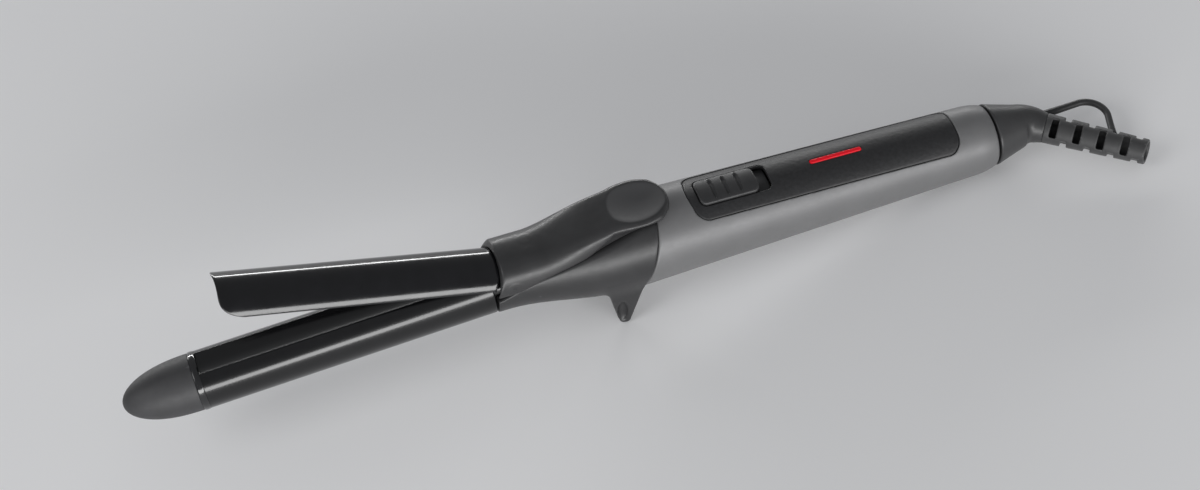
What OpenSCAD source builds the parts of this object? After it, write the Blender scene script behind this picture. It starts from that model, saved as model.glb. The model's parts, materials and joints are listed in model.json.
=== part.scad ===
// Curling iron with a sprung clamp, a slide switch, a two-legged rest and a swivel cord outlet.
// Every piece is drawn on the handle's axis: +X runs from the tip to the cord outlet, and the
// barrel's axis crosses the handle's axis at x = 0. on_the_table() then sets the part down on
// its two legs and the back edge of its handle.

/* [Barrel] */
// Outer diameter of the barrel tube
barrel_d = 19; // [16:0.5:25]
// Wall of the barrel tube
barrel_wall = 0.8; // [0.6:0.1:1]
// Distance from the barrel's front seam to the place where the two axes cross
barrel_reach = 108.8; // [90:0.5:125]
// Angle by which the barrel droops from the handle's axis
droop = 3.2; // [0:0.1:4]
// Length of the glossy ring behind the cap
ring_len = 2.1; // [1:0.1:3]
// Length of the insulating cap in front of the seam
cap_len = 23.8; // [16:0.2:28]
// Half the angle that the long recess under the clamp covers
recess_half_angle = 27; // [20:1:32]
// Depth of the recess below its two edges
recess_depth = 0.9; // [0.4:0.1:1.2]

/* [Clamp] */
// How far the clamp stands open when the thumb lever is pressed right down
clamp_open = 20.3; // [12:0.1:21]
// Outer radius of the clamp plate
plate_r = 10.5; // [10.3:0.1:11]
// Thickness of the clamp plate
plate_t = 0.7; // [0.5:0.1:0.8]
// Half the angle that the clamp plate wraps round the barrel
plate_half_angle = 64; // [50:1:70]
// Distance of the plate's free end from the crossing of the axes
plate_reach = 100; // [80:0.5:102]
// Diameter of the hinge pin
pin_d = 2.4; // [2:0.1:2.6]
// Wall of the thumb lever
lever_wall = 1.6; // [1.2:0.1:1.8]

/* [Handle] */
// Radius of the handle at its front seam
handle_r_front = 15.3; // [14.8:0.1:15.6]
// Radius of the handle just before its back edge
handle_r_back = 11.85; // [11.4:0.05:12.6]
// Wall of the handle shell
handle_wall = 2.4; // [2:0.1:2.6]
// Back end of the handle
handle_end = 166; // [162:0.5:180]
// Tilt of the seam between the collar and the handle
seam_tilt = 19; // [0:1:20]

/* [Controls] */
// Half the width of the control panel
panel_half_w = 9.55; // [8.5:0.05:10]
// Travel of the slide button
switch_travel = 4; // [2:0.1:4]
// Half the width of the slide button
button_half_w = 5.15; // [4:0.05:5.2]
// Length of the slide button
button_len = 20.6; // [17:0.1:21]

/* [Rest] */
// Drop of the legs' soles below the handle's axis
leg_drop = 24.2; // [22:0.1:30]
// Distance of each sole from the middle plane
leg_spread = 12.8; // [11:0.1:18]

/* [Cord outlet] */
// Angle by which the outlet is bent away from the handle's axis
outlet_bend = 39.3; // [0:0.1:60]
// Radius of the cord's hole
cord_hole_r = 3.2; // [2.6:0.1:3.3]
// Length of the boot, from the corner of the elbow to its open end
boot_len = 41.6; // [34:0.2:60]
// Radius of the hanging loop's rod
loop_rod_r = 1.15; // [0.9:0.05:1.4]

/* [Hidden] */
$fn = 96;
eps = 0.01;
big = 200;

barrel_r = barrel_d / 2;
bore_r = barrel_r - barrel_wall;
// The tube is swaged down to a neck where the collar holds it
neck_r = 7;
neck_back = 14;
shoulder_x = -10.8;
ring_back = -barrel_reach + ring_len;
// The recess is an arc that passes through its two edges on the tube
recess_half_w = barrel_r * sin(recess_half_angle);
recess_r = (pow(recess_half_w, 2) + pow(recess_depth, 2)) / (2 * recess_depth);
recess_z = barrel_r * cos(recess_half_angle) - recess_depth + recess_r;
lead_r = 0.75;
lead_y = 2.4;
lead_z = -1.32;

// Hinge of the clamp, on the handle's axes
hinge_x = -4.3;
hinge_z = 5.3;
run_fit = 0.05;
ear_in = 6.5;
ear_out = 7.8;
boss_in = 8.0;
boss_r = 2.6;
pin_near_end = -9.9;
pin_far_end = 10.9;
stake_x = 0.8;
stake_y = 3;
plate_tail_half_w = 5.4;
plate_tail_back = 3.4;
plate_tail_front = -10.2;

collar_front = -10.2;
collar_r_front = 10.1;
seam_x = 40.4;
spigot_back = 55;
handle_taper = (handle_r_front - handle_r_back) / (handle_end - 6 - seam_x);
back_round = 7;
leg_x = 31.5;
// The collar's spigot slides into the front of the handle shell
spigot_r = handle_r(spigot_back) - handle_wall - 0.12;
// The part stands on the legs and on the back edge of the handle
rest_x = handle_end - 5.3;
rest_r = handle_r(rest_x);
stand_tilt = atan((leg_drop - rest_r) / (rest_x - leg_x));
stand_height = leg_x * sin(stand_tilt) + leg_drop * cos(stand_tilt);
// These two set the origin under the middle of the bounding box
middle_x = 41.23;
middle_y = 7.19;

panel_front = 57.4;
panel_back = 152.4;
panel_sink = 0.3;
panel_t = 1.7;
button_front = 61.1;
slot_gap = 0.2;
lens_front = 100.8;
lens_back = 119.2;
lens_half_w = 0.9;
board_x = 92;
board_len = 44;
board_z = 5.2;

corner_x = 181;
boot_r_root = 5.2;
boot_r_end = 4.3;
swivel_r = 5;
window_pitch = 8;
first_window = 9.6;

function clamp01(t) = min(1, max(0, t));
function ease(t) = clamp01(t) * clamp01(t) * (3 - 2 * clamp01(t));
function steps(a, b, n) = [for (i = [0:n]) a + (b - a) * i / n];
// Outer radius of the collar and of the handle at x
function collar_r(x) = collar_r_front + (handle_r_front - collar_r_front) * ease((x + 7) / 40);
function handle_r(x) =
    handle_r_front - handle_taper * (x - seam_x)
    - 1.1 * pow(max(0, x - handle_end + back_round) / back_round, 2);
// Height of the collar's top, on which the lever lies when it is pressed
function deck_z(x) = 3.6 + 10.2 * (1 - pow(1 - clamp01((x + 3) / 45), 1.3));
// Reach of the lever's outside from the axis at x
function lever_r(x) = 13.7 + 7.6 * ease((x - 3) / 33);
// Height of the lever's top
function lever_top(x) = 14 + 5.1 * ease((x - 5) / 32);
// Half width of the lever where it meets the collar
function keel_w(x) = 11.1 - 4.2 * ease((x - 2) / 40);
// Radius of the cap, from its seam to its nose
function cap_r(t) = (barrel_r - 0.1) * sqrt(1 - pow(t, 2.3));

// Solid of revolution about X through points [x, radius]
module turn(points) {
    rotate([0, 90, 0]) rotate_extrude() polygon([for (p = points) [p[1], p[0]]]);
}

// Rod along X
module rod(x0, x1, r, y = 0, z = 0) {
    translate([x0, y, z]) rotate([0, 90, 0]) cylinder(r = r, h = x1 - x0);
}

// Rod along Y
module cross_rod(y0, y1, r, x = 0, z = 0) {
    translate([x, y0, z]) rotate([-90, 0, 0]) cylinder(r = r, h = y1 - y0);
}

// Slab with an [x, z] outline, centred on the middle plane
module side_slab(points, width) {
    rotate([90, 0, 0]) linear_extrude(width, center = true) polygon(points);
}

// Slab with a half outline of [x, half width], mirrored over the middle plane
module plan_slab(points, z0, z1) {
    n = len(points);
    far_side = [for (i = [n - 1:-1:0]) [points[i][0], -points[i][1]]];
    translate([0, 0, z0]) linear_extrude(z1 - z0) polygon(concat(points, far_side));
}

module box(x, y, z) {
    translate([x[0], y[0], z[0]]) cube([x[1] - x[0], y[1] - y[0], z[1] - z[0]]);
}

module both_sides() {
    children();
    mirror([0, 1, 0]) children();
}

// Everything behind the tilted seam between the collar and the handle
module behind_seam(gap = 0) {
    translate([seam_x + gap, 0, 0]) rotate([0, seam_tilt, 0]) box([0, big], [-40, 40], [-60, 60]);
}

module on_barrel_axis() {
    rotate([0, -droop, 0]) children();
}

// Turns the clamp from lying on the barrel to standing open about its hinge
module opened() {
    translate([hinge_x, 0, hinge_z])
        rotate([0, clamp_open, 0])
            translate([-hinge_x, 0, -hinge_z]) on_barrel_axis() children();
}

// Frame whose +X runs along the cord boot, from the corner of the elbow
module on_boot_axis() {
    translate([corner_x, 0, 0]) rotate([0, 0, -outlet_bend]) children();
}

module on_the_table() {
    translate([-middle_x, middle_y, stand_height]) rotate([0, stand_tilt, 0]) children();
}

// Pan-headed screw that points along +Z with its head's top at z = 0
module screw(r, head_r, head_h, length) {
    difference() {
        union() {
            cylinder(r = head_r, h = head_h, $fn = 32);
            cylinder(r = r, h = length, $fn = 32);
        }
        for (turned = [0, 90])
            rotate([0, 0, turned])
                translate([-head_r * 0.6, -0.2, -eps]) cube([head_r * 1.2, 0.4, head_h * 0.5]);
    }
}

// Cross-section of the barrel's outside, drawn in a frame whose +X points up
module barrel_section(r, grow) {
    difference() {
        circle(r = r);
        translate([recess_z, 0]) circle(r = recess_r + grow);
    }
}

// Turns a section drawn with +X up into a bar along +X
module along_barrel(x0, x1) {
    translate([x0, 0, 0]) rotate([0, 90, 0]) linear_extrude(x1 - x0) mirror([1, 0]) children();
}

module barrel_tube() {
    color([0.05, 0.05, 0.06]) on_barrel_axis() difference() {
        union() {
            along_barrel(ring_back, shoulder_x) barrel_section(barrel_r, 0);
            rod(shoulder_x - eps, neck_back, neck_r);
        }
        along_barrel(ring_back - 1, shoulder_x - barrel_wall)
            barrel_section(bore_r, barrel_wall);
        rod(shoulder_x - 2, neck_back + 1, neck_r - barrel_wall);
        // Notch that lets the hinge pin and its spring cross the neck
        box([hinge_x - 3.3, neck_back + 1], [-9, 9], [3.2, 9]);
    }
}

module tip_ring() {
    color([0.03, 0.03, 0.03]) on_barrel_axis() difference() {
        turn([
            [-barrel_reach, 0], [-barrel_reach, barrel_r - 0.05], [-barrel_reach + 0.3, barrel_r + 0.2],
            [ring_back - 0.3, barrel_r + 0.2], [ring_back, barrel_r - 0.05], [ring_back, 0]
        ]);
        rod(-barrel_reach - 1, ring_back + 1, 6.5);
    }
}

module tip_cap() {
    nose_steps = 14;
    outline = [for (i = [0:nose_steps])
        let (t = 1 - pow(1 - i / nose_steps, 1.7))
        [-barrel_reach - cap_len * t, cap_r(t)]];
    color([0.12, 0.12, 0.13]) on_barrel_axis() difference() {
        union() {
            turn(concat([[-barrel_reach, 0]], outline));
            rod(-barrel_reach - 1, ring_back + 0.5, 6.4);
            // Plug that grips inside the tube
            intersection() {
                along_barrel(ring_back + 0.1, ring_back + 8)
                    barrel_section(bore_r - 0.05, barrel_wall + 0.05);
                rod(-barrel_reach, ring_back + 9, bore_r);
            }
        }
        rod(-barrel_reach - 10, ring_back + 9, 5);
    }
}

module ceramic_heater() {
    color([0.85, 0.82, 0.72]) on_barrel_axis()
        box([-92, -34], [-4.5, 4.5], [-2.2, -0.2]);
}

// Two D-shaped aluminium bars carry the heat from the heater to the tube
module heat_spreaders() {
    color([0.75, 0.76, 0.78]) on_barrel_axis() difference() {
        along_barrel(-94, -32) barrel_section(bore_r - 0.15, barrel_wall + 0.15);
        box([-95, -31], [-10, 10], [-2.6, 0.2]);
    }
}

// Folded polyimide film round the heater
module heater_insulation() {
    color([0.75, 0.5, 0.15]) on_barrel_axis() difference() {
        box([-93, -33], [-6.5, 6.5], [-2.5, 0.1]);
        box([-94, -32], [-4.6, 4.6], [-2.25, -0.15]);
    }
}

module thermal_fuse() {
    color([0.8, 0.76, 0.7]) on_barrel_axis() {
        rod(-30, -20, 1.7, 2.4, 1.5);
        rod(-20 - eps, -18.5, 1.1, 2.4, 1.5);
    }
}

// Two insulated leads run from the heater through the neck and the collar to the switch
module heater_leads() {
    color([0.9, 0.9, 0.88]) both_sides() {
        on_barrel_axis() rod(-31.5, 12.3, lead_r + 0.05, lead_y, -2);
        rod(12, 61, lead_r, lead_y, lead_z);
    }
}

// Two-hole ceramic bush that keeps the leads off the neck
module wire_guide() {
    color([0.9, 0.88, 0.8]) on_barrel_axis() difference() {
        rod(neck_back - 6, neck_back - 0.5, neck_r - barrel_wall - 0.05);
        box([0, 20], [-9, 9], [3.1, 9]);
        both_sides() rod(0, 30, lead_r + 0.35, lead_y, -2);
    }
}

// Outline of the legs, seen from the side
leg_side = [
    [25.6, -6], [27.2, -15], [28.6, -21.5], [30.2, -leg_drop - 2], [33.4, -leg_drop - 2],
    [34.4, -23], [36.2, -16], [38.8, -6]
];

module legs() {
    sole_in = leg_spread - 1.5;
    sole_out = leg_spread + 1.5;
    both_sides() intersection() {
        side_slab(leg_side, 60);
        rotate([90, 0, 90]) linear_extrude(60) polygon([
            [8.8, -5], [10.4, -12], [sole_in, -leg_drop - 2], [sole_out, -leg_drop - 2],
            [sole_out - 0.3, -16], [14.2, -5]
        ]);
        // The soles are level when the part stands on the table
        rotate([0, -stand_tilt, 0]) box([-big, big], [0, 40], [-stand_height, 60]);
    }
}

// Side outline of everything above the collar's deck, in front of the seam
module above_deck(lift = 0) {
    top = 40;
    deck = [for (x = steps(-3, 42, 15)) [x, deck_z(x) + lift]];
    difference() {
        side_slab(concat([[-20, top], [-20, 1.4 + lift], [-9, 1.4 + lift]], deck,
            [[60, deck_z(42) + lift], [60, top]]), 60);
        behind_seam(0.05);
    }
}

module lower_collar() {
    color([0.07, 0.07, 0.075]) {
        difference() {
            union() {
                difference() {
                    turn(concat([[collar_front, 0]], [for (x = steps(collar_front, 46, 16)) [x, collar_r(x)]],
                        [[46, 0]]));
                    behind_seam();
                }
                difference() {
                    legs();
                    // Behind the seam the legs stay outside the handle shell
                    intersection() {
                        behind_seam();
                        turn(concat([[30, 0]], handle_outline(-0.1), [[handle_end, 0]]));
                    }
                }
                rod(34, spigot_back, spigot_r);
            }
            above_deck();
            on_barrel_axis() {
                rod(collar_front - 2, neck_back, neck_r + 0.03);
            }
            // Hollow for the wires
            intersection() {
                turn([[neck_back - 1, 0], [neck_back - 1, 5.8], [19, 9], [30, 12], [39, spigot_r - 1.6],
                    [spigot_back + 1, spigot_r - 1.6], [spigot_back + 1, 0]]);
                side_slab([[0, -20], [0, 4.5], [16, 7], [24, 9], [32, 10.6], [40, 11.6],
                    [42, 20], [60, 20], [60, -20]], 60);
            }
            barrel_screw_places() screw_room();
            handle_screw_places() cylinder(r = 0.9, h = 6);
        }
        ears();
    }
}

// The two ears that hold the hinge pin
module ears() {
    both_sides() difference() {
        union() {
            cross_rod(ear_in, ear_out, boss_r, hinge_x, hinge_z);
            box([hinge_x - boss_r, hinge_x + boss_r], [ear_in, ear_out], [1, hinge_z]);
        }
        cross_rod(ear_in - 1, ear_out + 1, pin_d / 2, hinge_x, hinge_z);
        on_barrel_axis() rod(-20, 20, neck_r);
    }
}

module barrel_screw_places() {
    for (side = [-1, 1])
        rotate([side * 32, 0, 0]) translate([8, 0, -collar_r(8) + 0.8]) children();
}

// Counterbore and clearance hole for a barrel screw
module screw_room() {
    translate([0, 0, -5]) cylinder(r = 1.9, h = 5.9);
    cylinder(r = 1, h = 6);
}

module barrel_screws() {
    color([0.6, 0.6, 0.62]) barrel_screw_places() screw(1, 1.8, 0.9, 4.2);
}

module hinge_pin() {
    color([0.75, 0.75, 0.77]) cross_rod(pin_near_end, pin_far_end, pin_d / 2, hinge_x, hinge_z);
}

// Double torsion spring on the hinge pin, with one leg on the deck and one under the lever
module clamp_spring() {
    wire_r = 0.35;
    coil_r = 1.75;
    coils = 5;
    pitch = 0.8;
    color([0.7, 0.7, 0.72]) {
        both_sides() for (i = [0:coils - 1])
            translate([hinge_x, 0.9 + wire_r + i * pitch, hinge_z]) rotate([90, 0, 0])
                rotate_extrude() translate([coil_r, 0]) circle(r = wire_r, $fn = 24);
        cross_rod(-4.9, 4.9, wire_r, hinge_x, hinge_z - coil_r, $fn = 24);
        for (y = [-4.9, 4.9])
            rod(hinge_x, 7.2, wire_r, y, hinge_z - coil_r, $fn = 24);
    }
}

// Plan of the thumb dish and the neck that carries it
dish_x = 39.7;
dish_len = 11.4;
dish_w = 10.6;
module dish_plan(grow, z0, z1) {
    neck = [for (x = steps(12, 28, 6)) [x, 9.7 - 0.6 * ease((x - 12) / 12) + grow]];
    rounded = [for (a = steps(118, 0, 14))
        [dish_x + (dish_len + grow) * cos(a), (dish_w + grow) * sin(a)]];
    plan_slab(concat(neck, rounded), z0, z1);
}

// The lever's front face stands square to the open clamp plate
lever_front_top = -7.2;
lever_foot = 3.9;
function lever_front(z) = lever_front_top - (14 - z) * tan(clamp_open - droop);

module lever_outside() {
    top = [for (x = steps(51.5, 5, 14)) [x, lever_top(x)]];
    intersection() {
        turn(concat([[-12, 0]], [for (x = steps(-12, 52, 22)) [x, lever_r(x)]], [[52, 0]]));
        side_slab(concat([[lever_front(lever_foot), lever_foot], [51.5, lever_foot]], top,
            [[lever_front(14), 14]]), 60);
        union() {
            difference() {
                plan_slab([for (x = steps(-12, 46, 14)) [x, keel_w(x)]], 0, 22);
                behind_seam(-0.5);
            }
            // The thumb dish flares out of the sides
            intersection() {
                dish_plan(0, 0, 22);
                side_slab([[11, 6], [30, 16.3], [60, 16.3], [60, 22], [11, 22]], 60);
            }
        }
    }
}

module lever_inside() {
    intersection() {
        turn(concat([[-13, 0]], [for (x = steps(-13, 43, 18)) [x, lever_r(x) - lever_wall]], [[43, 0]]));
        plan_slab([for (x = steps(-13, 42, 12)) [x, keel_w(x) - lever_wall]], -2, 22);
        side_slab(concat([[lever_front(-2) + lever_wall, -2]], [[lever_front(14) + lever_wall, 14]],
            [for (x = steps(-5, 27, 10)) [x, min(15, lever_top(x) - lever_wall)]],
            [[41, 15], [41, -2]]), 60);
    }
}

// Bosses inside the lever into which the clamp plate is screwed
module stake_places() {
    for (y = [-stake_y, stake_y])
        opened() translate([stake_x, y, plate_r - plate_t]) children();
}

module clamp_lever() {
    dish_depth = 1.6;
    dish_ball = 28;
    color([0.07, 0.07, 0.075]) difference() {
        union() {
            difference() {
                lever_outside();
                lever_inside();
            }
            intersection() {
                lever_outside();
                union() {
                    both_sides() cross_rod(boss_in, 12, boss_r, hinge_x, hinge_z);
                    stake_places() translate([0, 0, 0.2]) cylinder(r = 2, h = 12);
                }
            }
        }
        difference() {
            side_slab([[-20, 0], [-20, 3.9], [-3, 3.9], for (x = steps(-3, 42, 15)) [x, deck_z(x) + 0.3],
                [60, deck_z(42) + 0.3], [60, 0]], 60);
            both_sides() cross_rod(boss_in - 1, 13, boss_r, hinge_x, hinge_z);
        }
        translate([dish_x, 0, 19.1 - dish_depth + dish_ball]) sphere(r = dish_ball);
        cross_rod(pin_near_end - 0.2, 14, pin_d / 2 + run_fit, hinge_x, hinge_z);
        // Hollow in which the plate's tail swings with the lever
        opened() intersection() {
            rod(-20, plate_tail_back + 0.3, plate_r + 0.1);
            box([-20, 20], [-plate_half_w(), plate_half_w()], [0, 12]);
        }
        stake_places() cylinder(r = 0.7, h = 4);
    }
}

function plate_half_w() = plate_r * sin(plate_half_angle) + 0.45;

// The plate is an arc of thin sheet with a narrow tail that is screwed under the lever
module clamp_plate() {
    color([0.05, 0.05, 0.06]) opened() difference() {
        intersection() {
            rod(-plate_reach, plate_tail_back, plate_r);
            union() {
                // The free end has one round corner on each side
                plate_outline();
                box([plate_tail_front - 1, 20], [-plate_tail_half_w, plate_tail_half_w], [0, 20]);
            }
        }
        rod(-plate_reach - 1, 20, plate_r - plate_t);
        for (y = [-stake_y, stake_y])
            translate([stake_x, y, 0]) cylinder(r = 1, h = 20);
    }
}

// Side view of the plate: its free end's lower corners are rounded
module plate_outline() {
    corner_len = 6.5;
    corner_h = 4.6;
    low = plate_r * cos(plate_half_angle);
    arc = [for (a = steps(180, 270, 8))
        [-plate_reach + corner_len * (1 + cos(a)), low + corner_h * (1 + sin(a))]];
    side_slab(concat([[-plate_reach, 20]], arc, [[plate_tail_front, low], [plate_tail_front, 20]]), 60);
}

module clamp_screws() {
    color([0.6, 0.6, 0.62]) stake_places() translate([0, 0, -2]) screw(0.65, 1.6, 0.8, 4.6);
}

// Outline of the panel with a bowed front and rounded corners
module panel_plan(inset, z0, z1) {
    bow = 0.7;
    r = 4.6;
    w = panel_half_w - inset;
    front = panel_front + inset;
    back = panel_back - inset;
    front_arc = [for (a = steps(90, 180, 5)) [front + bow + r + r * cos(a), w - r + r * sin(a)]];
    bowed = [for (s = steps(1, 0, 4)) [front + bow * s * s, (w - r) * s]];
    back_arc = [for (a = steps(0, 90, 5)) [back - r + r * cos(a), w - r + r * sin(a)]];
    half = concat(
        [for (i = [4:-1:0]) bowed[i]], [for (i = [4:-1:0]) front_arc[i]], [for (i = [5:-1:0]) back_arc[i]]
    );
    plan_slab(half, z0, z1);
}

function handle_outline(sink) = [for (x = concat(steps(30, handle_end - back_round, 6),
    steps(handle_end - 6, handle_end, 6))) [x, handle_r(x) - sink]];

module handle_shell() {
    wall_back = handle_end - 4.2;
    color([0.2, 0.2, 0.21]) difference() {
        intersection() {
            turn(concat([[30, 0]], handle_outline(0), [[handle_end, 0]]));
            behind_seam(0.15);
        }
        turn([[20, 0], [20, handle_r(20) - handle_wall], [wall_back, handle_r(wall_back) - handle_wall],
            [wall_back, 0]]);
        // Seat of the control panel, with a ledge under its edge
        difference() {
            panel_plan(0, 0, 30);
            turn([[50, 0], [50, handle_r(50) - panel_sink - panel_t],
                [160, handle_r(160) - panel_sink - panel_t], [160, 0]]);
        }
        panel_plan(1.3, 0, 30);
        rod(wall_back - 1, handle_end + 1, 6.2);
        handle_screw_places() {
            translate([0, 0, -5]) cylinder(r = 2, h = 5.9);
            cylinder(r = 1.1, h = 6);
        }
    }
}

module handle_screw_places() {
    for (side = [-1, 1])
        rotate([side * 40, 0, 0]) translate([50, 0, -handle_r(50) + 0.9]) children();
}

module handle_screws() {
    color([0.6, 0.6, 0.62]) handle_screw_places() screw(0.9, 1.9, 0.9, 5);
}

module control_panel() {
    slot_back = button_front + button_len + switch_travel + slot_gap;
    color([0.03, 0.03, 0.03]) difference() {
        intersection() {
            difference() {
                turn(concat([[30, 0]], handle_outline(panel_sink), [[handle_end, 0]]));
                turn(concat([[29, 0]], handle_outline(panel_sink + panel_t), [[handle_end + 1, 0]]));
            }
            panel_plan(0.1, 0, 30);
        }
        slot_half_w = button_half_w + slot_gap;
        box([button_front - slot_gap, slot_back], [-slot_half_w, slot_half_w], [0, 30]);
        box([lens_front, lens_back], [-lens_half_w, lens_half_w], [0, 30]);
    }
}

// Ribbed button with a wide foot under the panel and a stem down to the switch
module slide_button() {
    button_back = button_front + button_len;
    foot_top = panel_sink + panel_t + 0.3;
    color([0.05, 0.05, 0.05]) difference() {
        union() {
            intersection() {
                difference() {
                    turn(concat([[30, 0]], handle_outline(-0.25), [[handle_end, 0]]));
                    turn(concat([[29, 0]], handle_outline(2.4), [[handle_end + 1, 0]]));
                }
                box([button_front, button_back], [-button_half_w, button_half_w], [0, 30]);
            }
            intersection() {
                difference() {
                    turn(concat([[30, 0]], handle_outline(foot_top), [[handle_end, 0]]));
                    turn(concat([[29, 0]], handle_outline(foot_top + 1), [[handle_end + 1, 0]]));
                }
                box([button_front - 0.4, button_back + switch_travel], [-6.2, 6.2], [0, 30]);
            }
            box([69.5, 72.5], [-1.5, 1.5], [8.2, 13]);
        }
        for (i = [0:2])
            cross_rod(-8, 8, 0.75, button_front + 5.5 + 4.5 * i, handle_r(70) + 0.2);
    }
}

module switch_body() {
    color([0.12, 0.12, 0.13]) difference() {
        box([62, 84], [-4.5, 4.5], [1, 9]);
        box([69.2, 77], [-1.8, 1.8], [6, 10]);
    }
}

module switch_terminals() {
    color([0.85, 0.75, 0.4]) for (x = [66, 73, 80])
        box([x - 0.4, x + 0.4], [-1.5, 1.5], [-3.2, 1]);
}

// Floor on which the switch, the board and the brushes are mounted
module inner_chassis() {
    color([0.35, 0.35, 0.36]) difference() {
        union() {
            plan_slab([[58, 9.8], [100, 9.6], [145, 8.4], [147.6, 8.3]], -1.6, 0);
            box([62, 84], [-5.6, -4.6], [-0.5, 4]);
            box([62, 84], [4.6, 5.6], [-0.5, 4]);
            box([62, 84], [-4.5, 4.5], [-0.5, 1]);
            both_sides() for (x = [board_x + 4, board_x + board_len - 4])
                translate([x, 5, -0.5]) cylinder(r = 1.6, h = board_z + 0.5);
            both_sides() translate([142, 5.4, -0.5]) cylinder(r = 2.2, h = 2.65);
        }
        for (x = [66, 73, 80])
            box([x - 0.6, x + 0.6], [-1.7, 1.7], [-4, 2]);
        both_sides() for (x = [board_x + 4, board_x + board_len - 4])
            translate([x, 5, -3]) cylinder(r = 0.6, h = 12);
        both_sides() translate([142, 5.4, 0]) cylinder(r = 0.7, h = 6);
        both_sides() rod(56, 63, 1.2, lead_y, lead_z);
    }
}

module chassis_screws() {
    color([0.6, 0.6, 0.62]) both_sides() for (x = [board_x + 4, board_x + board_len - 4])
        translate([x, 5, board_z + 1.6 + 0.8]) mirror([0, 0, 1]) screw(0.6, 1.3, 0.8, 5);
}

module circuit_board() {
    color([0.1, 0.35, 0.2]) difference() {
        box([board_x, board_x + board_len], [-6.8, 6.8], [board_z, board_z + 1.6]);
        both_sides() for (x = [board_x + 4, board_x + board_len - 4])
            translate([x, 5, 0]) cylinder(r = 0.7, h = 12);
    }
}

module indicator_led() {
    led_x = (lens_front + lens_back) / 2;
    color([0.8, 0.1, 0.1]) translate([led_x, 0, board_z + 1.6]) {
        cylinder(r = 1.7, h = 0.8);
        cylinder(r = 1.5, h = 2.2);
        translate([0, 0, 2.2]) sphere(r = 1.5);
    }
}

module indicator_lens() {
    color([0.75, 0.05, 0.05]) {
        intersection() {
            difference() {
                turn(concat([[30, 0]], handle_outline(panel_sink - 0.25), [[handle_end, 0]]));
                turn(concat([[29, 0]], handle_outline(panel_sink + panel_t + 0.5), [[handle_end + 1, 0]]));
            }
            box([lens_front + 0.05, lens_back - 0.05], [-lens_half_w + 0.05, lens_half_w - 0.05], [0, 30]);
        }
        intersection() {
            difference() {
                turn(concat([[30, 0]], handle_outline(panel_sink + panel_t), [[handle_end, 0]]));
                turn(concat([[29, 0]], handle_outline(panel_sink + panel_t + 0.6), [[handle_end + 1, 0]]));
            }
            box([lens_front - 1.2, lens_back + 1.2], [-2, 2], [0, 30]);
        }
    }
}

module board_resistors() {
    color([0.75, 0.65, 0.45]) for (x = [96, 101])
        cross_rod(-2.6, 2.6, 0.9, x, board_z + 1.6 + 0.9);
}

module film_capacitor() {
    color([0.75, 0.6, 0.15]) box([121, 129], [-3.5, 3.5], [board_z + 1.6, board_z + 5]);
}

module handle_wires() {
    color([0.5, 0.3, 0.2]) both_sides() {
        rod(board_x + board_len - 1, 141, 0.7, 2.4, board_z - 0.9);
        translate([140.6, 2.4, 2.8]) cylinder(r = 0.7, h = board_z - 3.2);
        rod(84.2, board_x + 2, 0.7, 2.4, board_z - 0.9);
    }
}

// Bronze strips that rub on the swivel's ring and pin
module brush_springs() {
    color([0.8, 0.6, 0.3]) {
        box([139, 153.5], [1, 3.6], [2.2, 2.8]);
        box([152.9, 153.5], [1, 3.6], [2.2, 3.6]);
        box([152.9, 156], [1, 3.6], [3.95, 4.5]);
        box([152.9, 153.5], [1, 3.6], [3.5, 4.5]);
        box([139, 148.6], [-3.6, -1], [2.2, 2.8]);
        box([148, 148.6], [-3.6, 0.9], [0.3, 2.8]);
    }
}

module swivel_bush() {
    bush_front = handle_end - 4.2;
    color([0.9, 0.9, 0.88]) difference() {
        union() {
            rod(bush_front, handle_end, 6.2);
            rod(bush_front - 1.2, bush_front, 7.6);
        }
        rod(bush_front - 2, handle_end + 1, swivel_r + run_fit);
    }
}

// Turning elbow: a cone behind the handle that bends into the cord boot
module swivel_elbow() {
    neck_front_x = handle_end - 8.5;
    groove = handle_end - 6.9;
    cone_front = handle_end + 0.3;
    color([0.08, 0.08, 0.085]) difference() {
        union() {
            rod(neck_front_x, cone_front + 1, swivel_r);
            turn([
                [cone_front, 0], [cone_front, 10.4], [cone_front + 0.6, 10.7], [cone_front + 3, 10.2],
                [cone_front + 8, 8.6], [corner_x - 1, 7], [corner_x - 1, 0]
            ]);
            translate([corner_x - 1, 0, 0]) sphere(r = 7);
            on_boot_axis() turn([[0, 0], [0, 7], [3, 6.3], [6.5, 5.6], [6.5, 0]]);
        }
        turn([[groove, swivel_r - 0.9], [groove, swivel_r + 1], [groove + 1.1, swivel_r + 1],
            [groove + 1.1, swivel_r - 0.9]]);
        // Passage of the cord's wires
        rod(neck_front_x - 1, corner_x, 2.6);
        translate([corner_x, 0, 0]) sphere(r = 2.6);
        on_boot_axis() {
            rod(0, 3.6, 2.6);
            rod(3.5, 8, 4.3);
        }
        on_boot_axis() loop_leg(loop_root, loop_rise, 8);
    }
}

module swivel_clip() {
    clip_front = handle_end - 6.8;
    color([0.7, 0.7, 0.72]) difference() {
        rod(clip_front, clip_front + 0.9, 7.2);
        rod(clip_front - 1, clip_front + 2, swivel_r - 0.85);
        box([0, 300], [-3.4, 3.4], [-9, 0]);
    }
}

module contact_ring() {
    color([0.85, 0.75, 0.4]) difference() {
        rod(handle_end - 12.5, handle_end - 8.5, 3.8);
        rod(handle_end - 13, handle_end - 8, 2.6);
    }
}

module contact_pin() {
    color([0.85, 0.75, 0.4]) difference() {
        union() {
            rod(handle_end - 17.2, handle_end - 6, 1.4);
            rod(handle_end - 12.4, handle_end - 8.5, 2.6);
        }
        rod(handle_end - 9, handle_end - 5, 0.6);
    }
}

function boot_r(s) = boot_r_root + (boot_r_end - boot_r_root) * clamp01((s - 3.6) / (boot_len - 3.6));

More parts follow.
